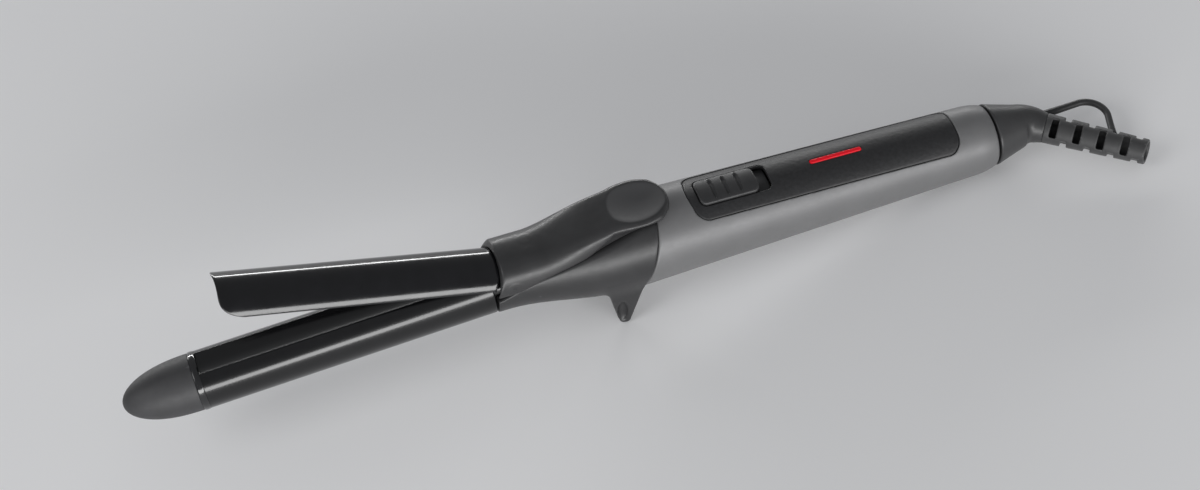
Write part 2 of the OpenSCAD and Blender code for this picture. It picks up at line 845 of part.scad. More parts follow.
// Segmented boot: windows through its flat faces and notches in its sides, in turn
module cord_boot() {
    window_w = 2.4;
    window_h = 6.4;
    windows = 4;
    window_turn = 36;
    color([0.05, 0.05, 0.05]) on_boot_axis() difference() {
        union() {
            rod(3.6, 6.6, 4.3);
            rod(6.5, boot_len, boot_r_end);
            turn([[6.5, 0], [6.5, boot_r(6.5)], [boot_len - 0.6, boot_r_end], [boot_len, boot_r_end - 0.5],
                [boot_len, 0]]);
        }
        rod(3, boot_len + 1, cord_hole_r);
        loop_leg(loop_root, loop_rise, 8);
        loop_leg(loop_tip, loop_fall + 180, 4);
        for (i = [0:windows - 1])
            translate([first_window + i * window_pitch, 0, 0]) rotate([window_turn, 0, 0]) {
                cube([window_w, window_h, 20], center = true);
                both_sides() translate([window_pitch / 2, boot_r_end, 0])
                    cube([window_w - 0.2, 1.6, 20], center = true);
            }
    }
}

// Middle line of the hanging loop, as [along, out] from the corner of the elbow
loop_root = [2.2, 3.6];
loop_tip = [28.6, 4.7];
loop_centre = [19.1, 9.2];
loop_bend_r = 7;
loop_rise = tangent_angle(loop_centre - loop_root, 1);
loop_fall = tangent_angle(loop_tip - loop_centre, -1);

// Direction of the line that leaves or meets the bend on its outer side
function tangent_angle(gap, side) = atan2(gap[1], gap[0]) + side * asin(loop_bend_r / norm(gap));
function tangent_length(gap) = sqrt(pow(norm(gap), 2) - pow(loop_bend_r, 2));

module loop_leg(at, angle, length) {
    translate([at[0], at[1], 0]) rotate([0, 0, angle]) rod(0, length, loop_rod_r + 0.05);
}

module hanging_loop() {
    rise_len = tangent_length(loop_centre - loop_root);
    fall_len = tangent_length(loop_tip - loop_centre);
    color([0.05, 0.05, 0.05]) on_boot_axis() {
        loop_leg(loop_root, loop_rise, rise_len + 0.3);
        translate([loop_centre[0], loop_centre[1], 0]) rotate([0, 0, loop_fall + 90])
            rotate_extrude(angle = loop_rise - loop_fall) translate([loop_bend_r, 0]) circle(r = loop_rod_r);
        loop_leg(loop_tip, loop_fall + 180, fall_len + 0.3);
    }
}

on_the_table() {
    barrel_tube();
    tip_ring();
    tip_cap();
    ceramic_heater();
    heat_spreaders();
    heater_insulation();
    thermal_fuse();
    heater_leads();
    wire_guide();
    lower_collar();
    barrel_screws();
    hinge_pin();
    clamp_spring();
    clamp_lever();
    clamp_plate();
    clamp_screws();
    handle_shell();
    handle_screws();
    control_panel();
    slide_button();
    switch_body();
    switch_terminals();
    inner_chassis();
    chassis_screws();
    circuit_board();
    indicator_led();
    indicator_lens();
    board_resistors();
    film_capacitor();
    handle_wires();
    brush_springs();
    swivel_bush();
    swivel_elbow();
    swivel_clip();
    contact_ring();
    contact_pin();
    cord_boot();
    hanging_loop();
}
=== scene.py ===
"""Curling iron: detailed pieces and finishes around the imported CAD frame.

Shapes are worked out in millimetres on the handle's axes (+X from the tip to the cord outlet,
+Z up, the axes cross at x = 0) and set down in the row frame through the record's joints.
"""

import json
import math

import bpy
import numpy as np
from mathutils import Matrix, Vector


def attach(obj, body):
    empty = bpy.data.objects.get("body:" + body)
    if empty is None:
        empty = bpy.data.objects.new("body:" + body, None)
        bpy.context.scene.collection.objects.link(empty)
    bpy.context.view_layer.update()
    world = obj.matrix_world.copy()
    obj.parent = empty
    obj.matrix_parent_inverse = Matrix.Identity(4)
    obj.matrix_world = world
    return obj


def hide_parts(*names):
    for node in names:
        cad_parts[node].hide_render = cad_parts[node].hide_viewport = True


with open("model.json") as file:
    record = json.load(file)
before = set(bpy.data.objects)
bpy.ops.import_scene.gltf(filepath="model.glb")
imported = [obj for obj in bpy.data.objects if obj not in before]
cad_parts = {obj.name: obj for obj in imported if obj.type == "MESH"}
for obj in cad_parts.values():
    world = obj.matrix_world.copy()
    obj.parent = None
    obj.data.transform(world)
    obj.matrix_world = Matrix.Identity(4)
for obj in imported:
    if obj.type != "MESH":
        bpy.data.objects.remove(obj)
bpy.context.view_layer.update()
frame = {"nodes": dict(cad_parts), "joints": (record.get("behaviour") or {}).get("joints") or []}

MM = 0.001
JOINTS = {j["name"]: j for j in frame["joints"]}

# Sizes in millimetres and degrees; the CAD source has nearly all of them too.
# Barrel, ring and cap
DROOP = 3.2
BARREL_R, BARREL_WALL = 9.5, 0.8
BARREL_FRONT, RING_BACK, SHOULDER = -108.8, -106.7, -10.8
NECK_R, NECK_BACK = 7.0, 14.0
RECESS_ANGLE, RECESS_DEPTH = 27.0, 0.76
RING_IN_R, RING_EDGE_R, RING_BULGE = 6.5, 9.3, 0.22
CAP_LEN, CAP_R, CAP_STEM_R, CAP_STEM_LEN = 23.8, 9.4, 6.4, 2.5

# Clamp
CLAMP_OPEN = 20.3
HINGE_X, HINGE_Z = -4.3, 5.3
PLATE_R, PLATE_T, PLATE_ANGLE, PLATE_REACH = 10.5, 0.7, 64.0, 100.0
PLATE_TAIL_FRONT, PLATE_TAIL_BACK, PLATE_TAIL_W = -10.2, 3.4, 5.4
# Length and height of the plate's rounded free corner on the near (-1) and the far (1) side
PLATE_CORNERS = {-1: (9.5, 4.9), 1: (5.0, 4.4)}
LEVER_WALL = 1.6
PIN_R, BOSS_R, BOSS_IN = 1.2, 2.6, 8.0
STAKE_X, STAKE_Y, STAKE_R = 0.8, 3.0, 2.0
DISH_X, DISH_LEN, DISH_W = 39.7, 11.4, 10.6
DISH_BALL, DISH_BALL_Z, DISH_STRETCH = 28.0, 45.5, 1.14

# Collar and handle
HANDLE_FRONT_R, HANDLE_BACK_R, HANDLE_WALL, HANDLE_END = 15.3, 11.85, 2.4, 166.0
SEAM_X, SEAM_TILT = 40.4, 19.0
COLLAR_FRONT, COLLAR_FRONT_R = -10.2, 10.1
EAR_IN, EAR_OUT = 6.5, 7.8
SPIGOT_FRONT, SPIGOT_BACK = 34.0, 55.0
BARREL_SCREW_X, BARREL_SCREW_TURN = 8.0, 32.0
HANDLE_SCREW_X, HANDLE_SCREW_TURN = 50.0, 40.0

# Panel, button and lens
PANEL_FRONT, PANEL_BACK, PANEL_HALF_W = 57.4, 152.4, 9.55
PANEL_SINK, PANEL_T, PANEL_BOW, PANEL_CORNER = 0.3, 1.7, 0.7, 4.6
BUTTON_FRONT, BUTTON_LEN, BUTTON_HALF_W, SWITCH_TRAVEL = 61.1, 20.6, 5.15, 4.0
GROOVE_FIRST, GROOVE_PITCH, GROOVE_R = 5.5, 4.5, 0.68
STEM_X, STEM_HALF, STEM_LOW, STEM_HIGH = 71.0, 1.5, 8.2, 13.0
SLOT_GAP = 0.2
LENS_FRONT, LENS_BACK, LENS_HALF_W = 100.8, 119.2, 0.9

# Cord outlet
BUSH_R, BUSH_LEN = 6.2, 4.2
SWIVEL_R, SWIVEL_FRONT, SWIVEL_BORE_R = 5.0, 157.5, 2.6
CLIP_X, CLIP_HALF_W, CLIP_R = 159.65, 0.55, 4.1
OUTLET_BEND, CORNER_X, BOOT_LEN = 39.3, 181.0, 41.6
ELBOW_TURN, ELBOW_FRONT_R, ELBOW_ROOT = 9.0, 10.75, 6.5
BOOT_ROOT_R, BOOT_END_R, CORD_HOLE_R = 5.2, 4.3, 3.2
BOOT_ROOT, PLUG_R, PLUG_BACK = 3.6, 4.3, 7.0
WINDOW_PITCH, FIRST_WINDOW, WINDOW_TURN = 8.0, 9.6, 36.0
LOOP_ROOT, LOOP_TIP, LOOP_CENTRE = (2.2, 3.6), (28.6, 4.7), (19.1, 9.2)
LOOP_BEND_R, LOOP_ROD_R = 7.0, 1.15

# ---------------------------------------------------------------- frames


def unit(v):
    v = np.array(v, float)
    return v / np.linalg.norm(v)


ALONG = unit(JOINTS["button_slide"]["axis"])
ACROSS = np.array([0.0, 1.0, 0.0])
ABOVE = np.cross(ALONG, ACROSS)
ORIGIN = (
    np.array(JOINTS["clamp_hinge"]["pos_m"]) - (HINGE_X * ALONG + HINGE_Z * ABOVE) * MM
)


def to_row(points):
    """Handle-axis millimetres to metres in the row frame."""
    p = np.asarray(points, float)
    return ORIGIN + (p[:, 0:1] * ALONG + p[:, 1:2] * ACROSS + p[:, 2:3] * ABOVE) * MM


def swing(x, z, degrees, px=0.0, pz=0.0):
    """Turns x and z about an axis along +Y through (px, pz)."""
    a = math.radians(degrees)
    c, s = math.cos(a), math.sin(a)
    dx, dz = x - px, z - pz
    return px + c * dx + s * dz, pz - s * dx + c * dz


def barrel_to_handle(p):
    x, z = swing(p[:, 0], p[:, 2], -DROOP)
    return np.stack([x, p[:, 1], z], 1)


def plate_to_handle(p):
    x, z = swing(p[:, 0], p[:, 2], -DROOP)
    x, z = swing(x, z, CLAMP_OPEN, HINGE_X, HINGE_Z)
    return np.stack([x, p[:, 1], z], 1)


def handle_to_plate(x, z):
    x, z = swing(x, z, -CLAMP_OPEN, HINGE_X, HINGE_Z)
    return swing(x, z, DROOP)


def boot_to_handle(p):
    a = math.radians(OUTLET_BEND)
    c, s = math.cos(a), math.sin(a)
    x = CORNER_X + c * p[:, 0] + s * p[:, 1]
    return np.stack([x, -s * p[:, 0] + c * p[:, 1], p[:, 2]], 1)


def handle_to_boot(x, y):
    a = math.radians(OUTLET_BEND)
    c, s = math.cos(a), math.sin(a)
    dx = x - CORNER_X
    return c * dx - s * y, s * dx + c * y


# ---------------------------------------------------------------- profiles


def ease(t):
    t = np.clip(t, 0, 1)
    return t * t * (3 - 2 * t)


def collar_r(x):
    return COLLAR_FRONT_R + (HANDLE_FRONT_R - COLLAR_FRONT_R) * ease((x + 7) / 40)


TAPER = (HANDLE_FRONT_R - HANDLE_BACK_R) / (HANDLE_END - 6 - SEAM_X)


def handle_r(x):
    return (
        HANDLE_FRONT_R
        - TAPER * (x - SEAM_X)
        - 1.1 * (np.maximum(0, x - HANDLE_END + 7) / 7) ** 2
    )


def deck_z(x):
    back = 3.6 + 10.2 * (1 - (1 - np.clip((x + 3) / 45, 0, 1)) ** 1.3)
    return np.where(x < -3, np.interp(x, [-9, -3], [1.4, 3.6]), back)


def lever_floor(x):
    return np.where(x < -3, 3.9, deck_z(x) + 0.3)


def lever_r(x):
    return 13.7 + 7.6 * ease((x - 3) / 33)


def lever_top(x):
    return 14 + 5.1 * ease((x - 5) / 32)


def keel_w(x):
    return 11.1 - 4.2 * ease((x - 2) / 40)


SPIGOT_R = handle_r(SPIGOT_BACK) - HANDLE_WALL - 0.05


def behind_seam(x, z, gap=0.0):
    """Distance behind the tilted seam between the collar and the handle."""
    a = math.radians(SEAM_TILT)
    return (x - SEAM_X - gap) * math.cos(a) - z * math.sin(a)


# ---------------------------------------------------------------- solids as distance fields


def blend_min(a, b, k):
    h = np.clip(0.5 + 0.5 * (b - a) / k, 0, 1)
    return b + (a - b) * h - k * h * (1 - h)


def blend_max(a, b, k):
    return -blend_min(-a, -b, k)


def cut(a, b, k):
    return blend_max(a, -b, k)


def rounded_rect(u, v, half_u, half_v, r):
    du = np.abs(u) - half_u + r
    dv = np.abs(v) - half_v + r
    outside = np.hypot(np.maximum(du, 0), np.maximum(dv, 0))
    return outside + np.minimum(np.maximum(du, dv), 0) - r


def ellipse(u, v, a, b):
    k0 = np.sqrt((u / a) ** 2 + (v / b) ** 2)
    k1 = np.sqrt((u / a**2) ** 2 + (v / b**2) ** 2) + 1e-9
    return k0 * (k0 - 1) / k1


def graded(*parts):
    """Grid lines from (start, end, step) runs that follow each other."""
    lines = [parts[0][0]]
    for start, end, step in parts:
        n = max(1, round((end - start) / step))
        lines += [start + (end - start) * (i + 1) / n for i in range(n)]
    return np.array(lines)


CORNERS = [(i, j, k) for i in (0, 1) for j in (0, 1) for k in (0, 1)]
CELL_EDGES = [
    (a, b)
    for n, a in enumerate(CORNERS)
    for b in CORNERS[n + 1 :]
    if sum(abs(p - q) for p, q in zip(a, b)) == 1
]


def gradient(field, p, h=0.02):
    g = np.empty_like(p)
    for axis in range(3):
        step = np.zeros(3)
        step[axis] = h
        high, low = p + step, p - step
        g[:, axis] = field(*high.T) - field(*low.T)
    return g / (2 * h)


def crossing_points(f, cells, lines):
    """The mean of the places where the edges of each cell cross the surface."""
    total, crossings = np.zeros((len(cells), 3)), np.zeros(len(cells))
    for a, b in CELL_EDGES:
        ia, ib = cells + a, cells + b
        fa, fb = f[tuple(ia.T)], f[tuple(ib.T)]
        crossed = (fa < 0) != (fb < 0)
        t = (fa / np.where(crossed, fa - fb, 1))[:, None]
        pa = np.stack([lines[d][ia[:, d]] for d in range(3)], 1)
        pb = np.stack([lines[d][ib[:, d]] for d in range(3)], 1)
        total += np.where(crossed[:, None], pa + (pb - pa) * t, 0)
        crossings += crossed
    return total / crossings[:, None]


def pull_onto(field, p, cell):
    """Moves points down the gradient onto the surface, by less than the size of their cell."""
    start = p.copy()
    for _ in range(5):
        g = gradient(field, p)
        push = -field(*p.T)[:, None] * g / np.maximum((g * g).sum(1), 0.05)[:, None]
        p = p + push
        away = p - start
        far = np.linalg.norm(away, axis=1)
        p = start + away * np.minimum(1, 0.7 * cell / np.maximum(far, 1e-9))[:, None]
    return p


def facing_quads(inside, number):
    """One quad for each grid edge that crosses the surface, with its front to the outside."""
    quads = []
    for axis in range(3):
        u, v = [(1, 2), (2, 0), (0, 1)][axis]
        first = [slice(1, -1)] * 3
        first[axis] = slice(0, -1)
        second = list(first)
        second[axis] = slice(1, None)
        low, high = inside[tuple(first)], inside[tuple(second)]
        for outward in (True, False):
            at = np.argwhere(low & ~high if outward else ~low & high)
            base = at + [0 if d == axis else 1 for d in range(3)]
            ring = []
            for du, dv in ((-1, -1), (0, -1), (0, 0), (-1, 0)):
                c = base.copy()
                c[:, u] += du
                c[:, v] += dv
                ring.append(number[tuple(c.T)])
            q = np.stack(ring, 1)
            quads.append(q if outward else q[:, ::-1])
    return np.concatenate(quads)


def skin(field, xs, ys, zs):
    """Vertices and quads of the surface where field is 0, by surface nets.

    Each grid cell that the surface goes through gets one vertex.
    """
    lines = (xs, ys, zs)
    f = field(*np.meshgrid(*lines, indexing="ij"))
    inside = f < 0
    n = np.array(f.shape) - 1
    count = np.zeros(n, np.int8)
    for i, j, k in CORNERS:
        count += inside[i : i + n[0], j : j + n[1], k : k + n[2]]
    active = (count > 0) & (count < 8)
    number = np.full(active.shape, -1, np.int64)
    number[active] = np.arange(active.sum())
    cells = np.argwhere(active)
    size = np.stack([np.diff(lines[d])[cells[:, d]] for d in range(3)], 1).min(1)
    points = pull_onto(field, crossing_points(f, cells, lines), size)
    return points, facing_quads(inside, number)


# ---------------------------------------------------------------- pieces


def piece(name, points, faces, body, slot, replaced=()):
    """A smooth-shaded mesh from handle-axis points, riding on its body."""
    mesh = bpy.data.meshes.new(name)
    mesh.from_pydata(to_row(points).tolist(), [], [list(map(int, q)) for q in faces])
    mesh.validate()
    mesh.update()
    obj = bpy.data.objects.new(name, mesh)
    bpy.context.scene.collection.objects.link(obj)
    mesh.materials.append(MATERIALS[slot])
    mesh.shade_smooth()
    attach(obj, body)
    if replaced:
        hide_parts(*replaced)
    return obj


def keep_edges(obj, degrees=40):
    """Leaves edges sharper than that crisp in the shading."""
    obj.data.set_sharp_from_angle(angle=math.radians(degrees))


def radial_mesh(rings, closed=True):
    """Faces of a stack of rings with the same number of points; closed fans both ends shut."""
    n = len(rings[0])
    points = np.concatenate(rings)
    faces = []
    for i in range(len(rings) - 1):
        for j in range(n):
            k = (j + 1) % n
            faces.append((i * n + j, i * n + k, (i + 1) * n + k, (i + 1) * n + j))
    if closed:
        for ring, flip in ((0, True), (len(rings) - 1, False)):
            centre = rings[ring].mean(0)
            points = np.vstack([points, centre])
            for j in range(n):
                tri = (ring * n + j, ring * n + (j + 1) % n, len(points) - 1)
                faces.append(tri[::-1] if flip else tri)
    return points, faces


def ring_at(x, r, angles):
    """Ring about X; the angle runs from the top towards +Y, and r may differ with it."""
    r = np.broadcast_to(r, angles.shape)
    return np.stack([np.full_like(angles, x), r * np.sin(angles), r * np.cos(angles)], 1)


def lathe(profile, n=160):
    """Closed solid of revolution about X through (x, radius) points."""
    angles = np.linspace(0, -2 * math.pi, n, endpoint=False)
    return radial_mesh([ring_at(x, max(r, 0.02), angles) for x, r in profile])


# ---------------------------------------------------------------- materials


SOFT_EDGE = 0.12 * MM


class Nodes:
    """A material's node tree with short calls for the nodes used here."""

    def __init__(self, name):
        self.material = bpy.data.materials.new(name)
        self.material.use_nodes = True
        self.tree = self.material.node_tree
        self.shader = self.tree.nodes["Principled BSDF"]
        self.place = self.tree.nodes.new("ShaderNodeTexCoord").outputs["Object"]

    def link(self, a, b):
        self.tree.links.new(a, b)

    def noise(self, scale, detail=3.0, rough=0.55, stretch=None):
        node = self.tree.nodes.new("ShaderNodeTexNoise")
        node.inputs["Scale"].default_value = scale
        node.inputs["Detail"].default_value = detail
        node.inputs["Roughness"].default_value = rough
        source = self.place
        if stretch:
            mapping = self.tree.nodes.new("ShaderNodeMapping")
            mapping.inputs["Scale"].default_value = stretch
            self.link(self.place, mapping.inputs["Vector"])
            source = mapping.outputs["Vector"]
        self.link(source, node.inputs["Vector"])
        return node.outputs["Fac"]

    def cells(self, scale):
        node = self.tree.nodes.new("ShaderNodeTexVoronoi")
        node.inputs["Scale"].default_value = scale
        self.link(self.place, node.inputs["Vector"])
        return node.outputs["Distance"]

    def spread(self, value, low, high, start=0.3, end=0.7):
        node = self.tree.nodes.new("ShaderNodeMapRange")
        node.inputs["From Min"].default_value = start
        node.inputs["From Max"].default_value = end
        node.inputs["To Min"].default_value = low
        node.inputs["To Max"].default_value = high
        self.link(value, node.inputs["Value"])
        return node.outputs["Result"]

    def mix(self, factor, a, b):
        node = self.tree.nodes.new("ShaderNodeMix")
        node.data_type = "RGBA"
        self.link(factor, node.inputs["Factor"])
        for socket, value in ((node.inputs["A"], a), (node.inputs["B"], b)):
            if isinstance(value, tuple):
                socket.default_value = (*value, 1)
            else:
                self.link(value, socket)
        return node.outputs["Result"]

    def bump(self, height, distance, strength=1.0, after=None):
        node = self.tree.nodes.new("ShaderNodeBump")
        node.inputs["Distance"].default_value = distance
        node.inputs["Strength"].default_value = strength
        self.link(height, node.inputs["Height"])
        if after is not None:
            self.link(after, node.inputs["Normal"])
        return node.outputs["Normal"]

    def vectors(self, operation, *values):
        node = self.tree.nodes.new("ShaderNodeVectorMath")
        node.operation = operation
        for socket, value in zip(node.inputs, values):
            if isinstance(value, bpy.types.NodeSocket):
                self.link(value, socket)
            else:
                socket.default_value = value
        return node.outputs["Value" if operation in ("DOT_PRODUCT", "LENGTH") else "Vector"]

    def near(self, centre, radius, stretch):
        """1 in a ball that is stretched along the handle, 0 outside it, with a thin soft edge.

        centre and radius are in metres.
        """
        offset = self.vectors("SUBTRACT", self.place, centre)
        along = self.vectors("DOT_PRODUCT", offset, ALONG)
        squeezed = self.vectors("MULTIPLY_ADD", along, ALONG * (1 / stretch - 1), offset)
        return self.spread(self.vectors("LENGTH", squeezed), 1, 0, radius, radius + SOFT_EDGE)

    def times_plus(self, value, factor, base):
        node = self.tree.nodes.new("ShaderNodeMath")
        node.operation = "MULTIPLY_ADD"
        self.link(value, node.inputs[0])
        node.inputs[1].default_value = factor
        self.link(base, node.inputs[2])
        return node.outputs["Value"]

    def worn_edges(self):
        node = self.tree.nodes.new("ShaderNodeNewGeometry")
        return self.spread(node.outputs["Pointiness"], 0, 1, 0.56, 0.68)


def shade(colour, factor):
    return tuple(min(1, c * factor) for c in colour)


def finish(
    name,
    colour,
    rough,
    spread=0.04,
    mottle=0.12,
    mottle_scale=90,
    grain=None,
    wear=None,
    brushed=None,
    metallic=0.0,
    coat=0.0,
    coat_rough=0.04,
    specular=0.5,
    sheen=0.0,
    glow=0.0,
    matt_patch_painted_light=None,
):
    """A finish with colour mottling, varied roughness, a surface grain and worn edges.

    The roughness varies by spread and the colour by the share mottle, in a noise of mottle_scale.
    grain is (scale, depth in metres), brushed is (stretch, scale, depth), wear is a lighter
    colour, and the last argument is (centre, radius, stretch, colour, added roughness) of a duller
    patch whose lighter colour is painted light falling into it.
    """
    n = Nodes(name)
    s = n.shader
    colour_out = n.mix(
        n.spread(n.noise(mottle_scale, 4), 0, 1),
        shade(colour, 1 - mottle),
        shade(colour, 1 + mottle),
    )
    if wear:
        colour_out = n.mix(n.worn_edges(), colour_out, wear)
    rough_source = n.noise(mottle_scale * 4.5, 5, 0.65, brushed[0] if brushed else None)
    rough_out = n.spread(rough_source, rough - spread, rough + spread)
    # a rougher patch whose lighter colour is painted light falling into the upward-facing dish
    if matt_patch_painted_light:
        *ball, painted_light_colour, added = matt_patch_painted_light
        inside = n.near(*ball)
        colour_out = n.mix(inside, colour_out, painted_light_colour)
        rough_out = n.times_plus(inside, added, rough_out)
    n.link(colour_out, s.inputs["Base Color"])
    n.link(rough_out, s.inputs["Roughness"])
    normal = None
    if grain:
        normal = n.bump(n.noise(grain[0], 2, 0.5), grain[1])
        normal = n.bump(n.cells(grain[0] * 0.6), grain[1] * 0.5, 0.6, normal)
    if brushed:
        lines = n.noise(brushed[1], 3, 0.6, brushed[0])
        normal = n.bump(lines, brushed[2], 1.0, normal)
    if normal is not None:
        n.link(normal, s.inputs["Normal"])
    s.inputs["Metallic"].default_value = metallic
    s.inputs["Coat Weight"].default_value = coat
    s.inputs["Coat Roughness"].default_value = coat_rough
    s.inputs["Specular IOR Level"].default_value = specular
    s.inputs["Sheen Weight"].default_value = sheen
    if glow:
        s.inputs["Emission Color"].default_value = (*colour, 1)
        s.inputs["Emission Strength"].default_value = glow
    return n.material


# Stretches of the texture space for brushed metal, and the thumb dish as a ball that bounds the
# lever's rougher patch of painted light
AROUND = (1.0, 0.06, 0.06)
LENGTHWISE = (0.05, 1.0, 1.0)
DISH = (to_row([[DISH_X, 0, DISH_BALL_Z]])[0], (DISH_BALL + 0.03) * MM, DISH_STRETCH)
MATERIALS = {
    "coated_barrel": finish(
        "coated_barrel", (0.003, 0.003, 0.0035), 0.2, 0.03, 0.3, 160,
        brushed=(LENGTHWISE, 1800, 0.0000012), coat=0.3, coat_rough=0.1, specular=0.42,
    ),
    "coated_clamp": finish(
        "coated_clamp", (0.004, 0.004, 0.005), 0.15, 0.03, 0.3, 160,
        brushed=(LENGTHWISE, 1800, 0.0000012), coat=0.25, coat_rough=0.05, specular=0.42,
    ),
    "tip_ring": finish(
        "tip_ring", (0.01, 0.01, 0.011), 0.16, 0.04, 0.2, 200,
        grain=(2600, 0.000002), coat=0.4, wear=(0.06, 0.06, 0.062),
    ),
    "tip_cap": finish(
        "tip_cap", (0.038, 0.038, 0.04), 0.56, 0.06, 0.12, 140,
        grain=(4200, 0.000007), wear=(0.09, 0.09, 0.095),
    ),
    "collar_plastic": finish(
        "collar_plastic", (0.025, 0.025, 0.026), 0.38, 0.05, 0.14, 110,
        grain=(5200, 0.000006), wear=(0.075, 0.075, 0.078),
    ),
    "lever_plastic": finish(
        "lever_plastic", (0.028, 0.028, 0.029), 0.36, 0.05, 0.14, 110,
        grain=(5200, 0.000006),
        # the thumb dish: rougher, with painted light in a colour twice as light as the lever's
        matt_patch_painted_light=(*DISH, (0.055, 0.055, 0.057), 0.2),
    ),
    "handle_plastic": finish(
        "handle_plastic", (0.155, 0.155, 0.157), 0.47, 0.04, 0.05, 120,
        grain=(7000, 0.000004), wear=(0.23, 0.23, 0.233), metallic=0.25,
    ),
    "panel_plastic": finish(
        "panel_plastic", (0.014, 0.014, 0.015), 0.5, 0.07, 0.3, 900,
        grain=(800, 0.00008), wear=(0.04, 0.04, 0.042),
    ),
    "button_plastic": finish(
        "button_plastic", (0.026, 0.026, 0.027), 0.42, 0.05, 0.18, 180,
        grain=(4200, 0.000008), wear=(0.06, 0.06, 0.062),
    ),
    "elbow_plastic": finish(
        "elbow_plastic", (0.035, 0.035, 0.036), 0.4, 0.05, 0.14, 110,
        grain=(4600, 0.000007), wear=(0.08, 0.08, 0.083),
    ),
    "boot_rubber": finish(
        "boot_rubber", (0.038, 0.038, 0.039), 0.55, 0.06, 0.16, 130,
        grain=(3600, 0.00001), wear=(0.075, 0.075, 0.078), sheen=0.1,
    ),
    "loop_plastic": finish(
        "loop_plastic", (0.032, 0.032, 0.033), 0.45, 0.05, 0.14, 130,
        grain=(4200, 0.000007), wear=(0.07, 0.07, 0.073),
    ),
    "indicator_lens": finish(
        "indicator_lens", (0.5, 0.004, 0.012), 0.25, 0.04, 0.12, 500,
        grain=(2400, 0.000003), specular=0.25, glow=0.4,
    ),
    "screw_steel": finish(
        "screw_steel", (0.42, 0.42, 0.43), 0.3, 0.08, 0.1, 400,
        brushed=(AROUND, 3000, 0.000002), metallic=1.0,
    ),
    "pin_steel": finish(
        "pin_steel", (0.5, 0.5, 0.51), 0.22, 0.06, 0.08, 400,
        brushed=(AROUND, 3000, 0.0000015), metallic=1.0,
    ),
    "spring_steel": finish(
        "spring_steel", (0.36, 0.35, 0.34), 0.3, 0.08, 0.14, 500,
        grain=(3000, 0.000002), metallic=1.0,
    ),
    "brass_contacts": finish(
        "brass_contacts", (0.72, 0.5, 0.2), 0.3, 0.09, 0.15, 400,
        grain=(3000, 0.000002), metallic=1.0,
    ),
    "ceramic": finish(
        "ceramic", (0.74, 0.7, 0.62), 0.6, 0.08, 0.06, 300, grain=(2800, 0.000006),
    ),
    "spreader_aluminium": finish(
        "spreader_aluminium", (0.62, 0.63, 0.65), 0.36, 0.1, 0.08, 200,
        brushed=(LENGTHWISE, 2600, 0.000003), metallic=1.0,
    ),
    "insulation_film": finish(
        "insulation_film", (0.5, 0.24, 0.04), 0.24, 0.06, 0.12, 240,
        grain=(900, 0.00001), coat=0.3,
    ),
    "fuse_case": finish(
        "fuse_case", (0.66, 0.6, 0.5), 0.4, 0.08, 0.1, 300, grain=(2600, 0.000004),
    ),
    "lead_insulation": finish(
        "lead_insulation", (0.72, 0.7, 0.66), 0.55, 0.08, 0.08, 400,
        grain=(3200, 0.000012),
    ),
    "switch_plastic": finish(
        "switch_plastic", (0.03, 0.03, 0.033), 0.45, 0.06, 0.12, 200,
        grain=(3400, 0.000006),
    ),
    "chassis_plastic": finish(
        "chassis_plastic", (0.12, 0.12, 0.125), 0.5, 0.06, 0.1, 160,
        grain=(3200, 0.000007),
    ),
    "board_laminate": finish(
        "board_laminate", (0.02, 0.13, 0.05), 0.38, 0.08, 0.2, 260,
        grain=(2200, 0.000008), coat=0.3,
    ),
    "led_lens": finish(
        "led_lens", (0.6, 0.02, 0.02), 0.16, 0.04, 0.08, 300,
        grain=(1800, 0.000002), coat=0.4,
    ),
    "resistor_coating": finish(
        "resistor_coating", (0.55, 0.42, 0.26), 0.4, 0.06, 0.14, 500,
        grain=(2600, 0.000006),
    ),
    "capacitor_case": finish(
        "capacitor_case", (0.6, 0.4, 0.05), 0.3, 0.06, 0.1, 300,
        grain=(2600, 0.000005), coat=0.3,
    ),
    "wire_insulation": finish(
        "wire_insulation", (0.2, 0.08, 0.03), 0.42, 0.06, 0.12, 300,
        grain=(2600, 0.000006),
    ),
    "bush_plastic": finish(
        "bush_plastic", (0.03, 0.03, 0.032), 0.45, 0.06, 0.08, 200,
        grain=(3400, 0.000005),
    ),
}


# ---------------------------------------------------------------- barrel, ring and cap


def barrel_rho(angles):
    """Distance of the barrel's outside from its axis, with the long recess on top."""
    half_w = BARREL_R * math.sin(math.radians(RECESS_ANGLE))
    r = (half_w**2 + RECESS_DEPTH**2) / (2 * RECESS_DEPTH)
    up = BARREL_R * math.cos(math.radians(RECESS_ANGLE)) - RECESS_DEPTH + r
    inside = np.maximum(r**2 - (up * np.sin(angles)) ** 2, 0)
    floor = up * np.cos(angles) - np.sqrt(inside)
    recess = np.where((np.abs(angles) < 1) & (inside > 0), floor, 5 * BARREL_R)
    return blend_min(np.full_like(angles, BARREL_R), recess, 0.16)


def barrel_angles():
    """Angles round the barrel, close together over the edges of the recess."""
    edge = math.radians(RECESS_ANGLE)
    fine = np.linspace(-0.07, 0.07, 15)
    floor = np.linspace(-edge + 0.08, edge - 0.08, 28)
    back = np.linspace(edge + 0.09, 2 * math.pi - edge - 0.09, 150)
    return np.concatenate([floor, edge + fine, back, 2 * math.pi - edge + fine])[::-1]


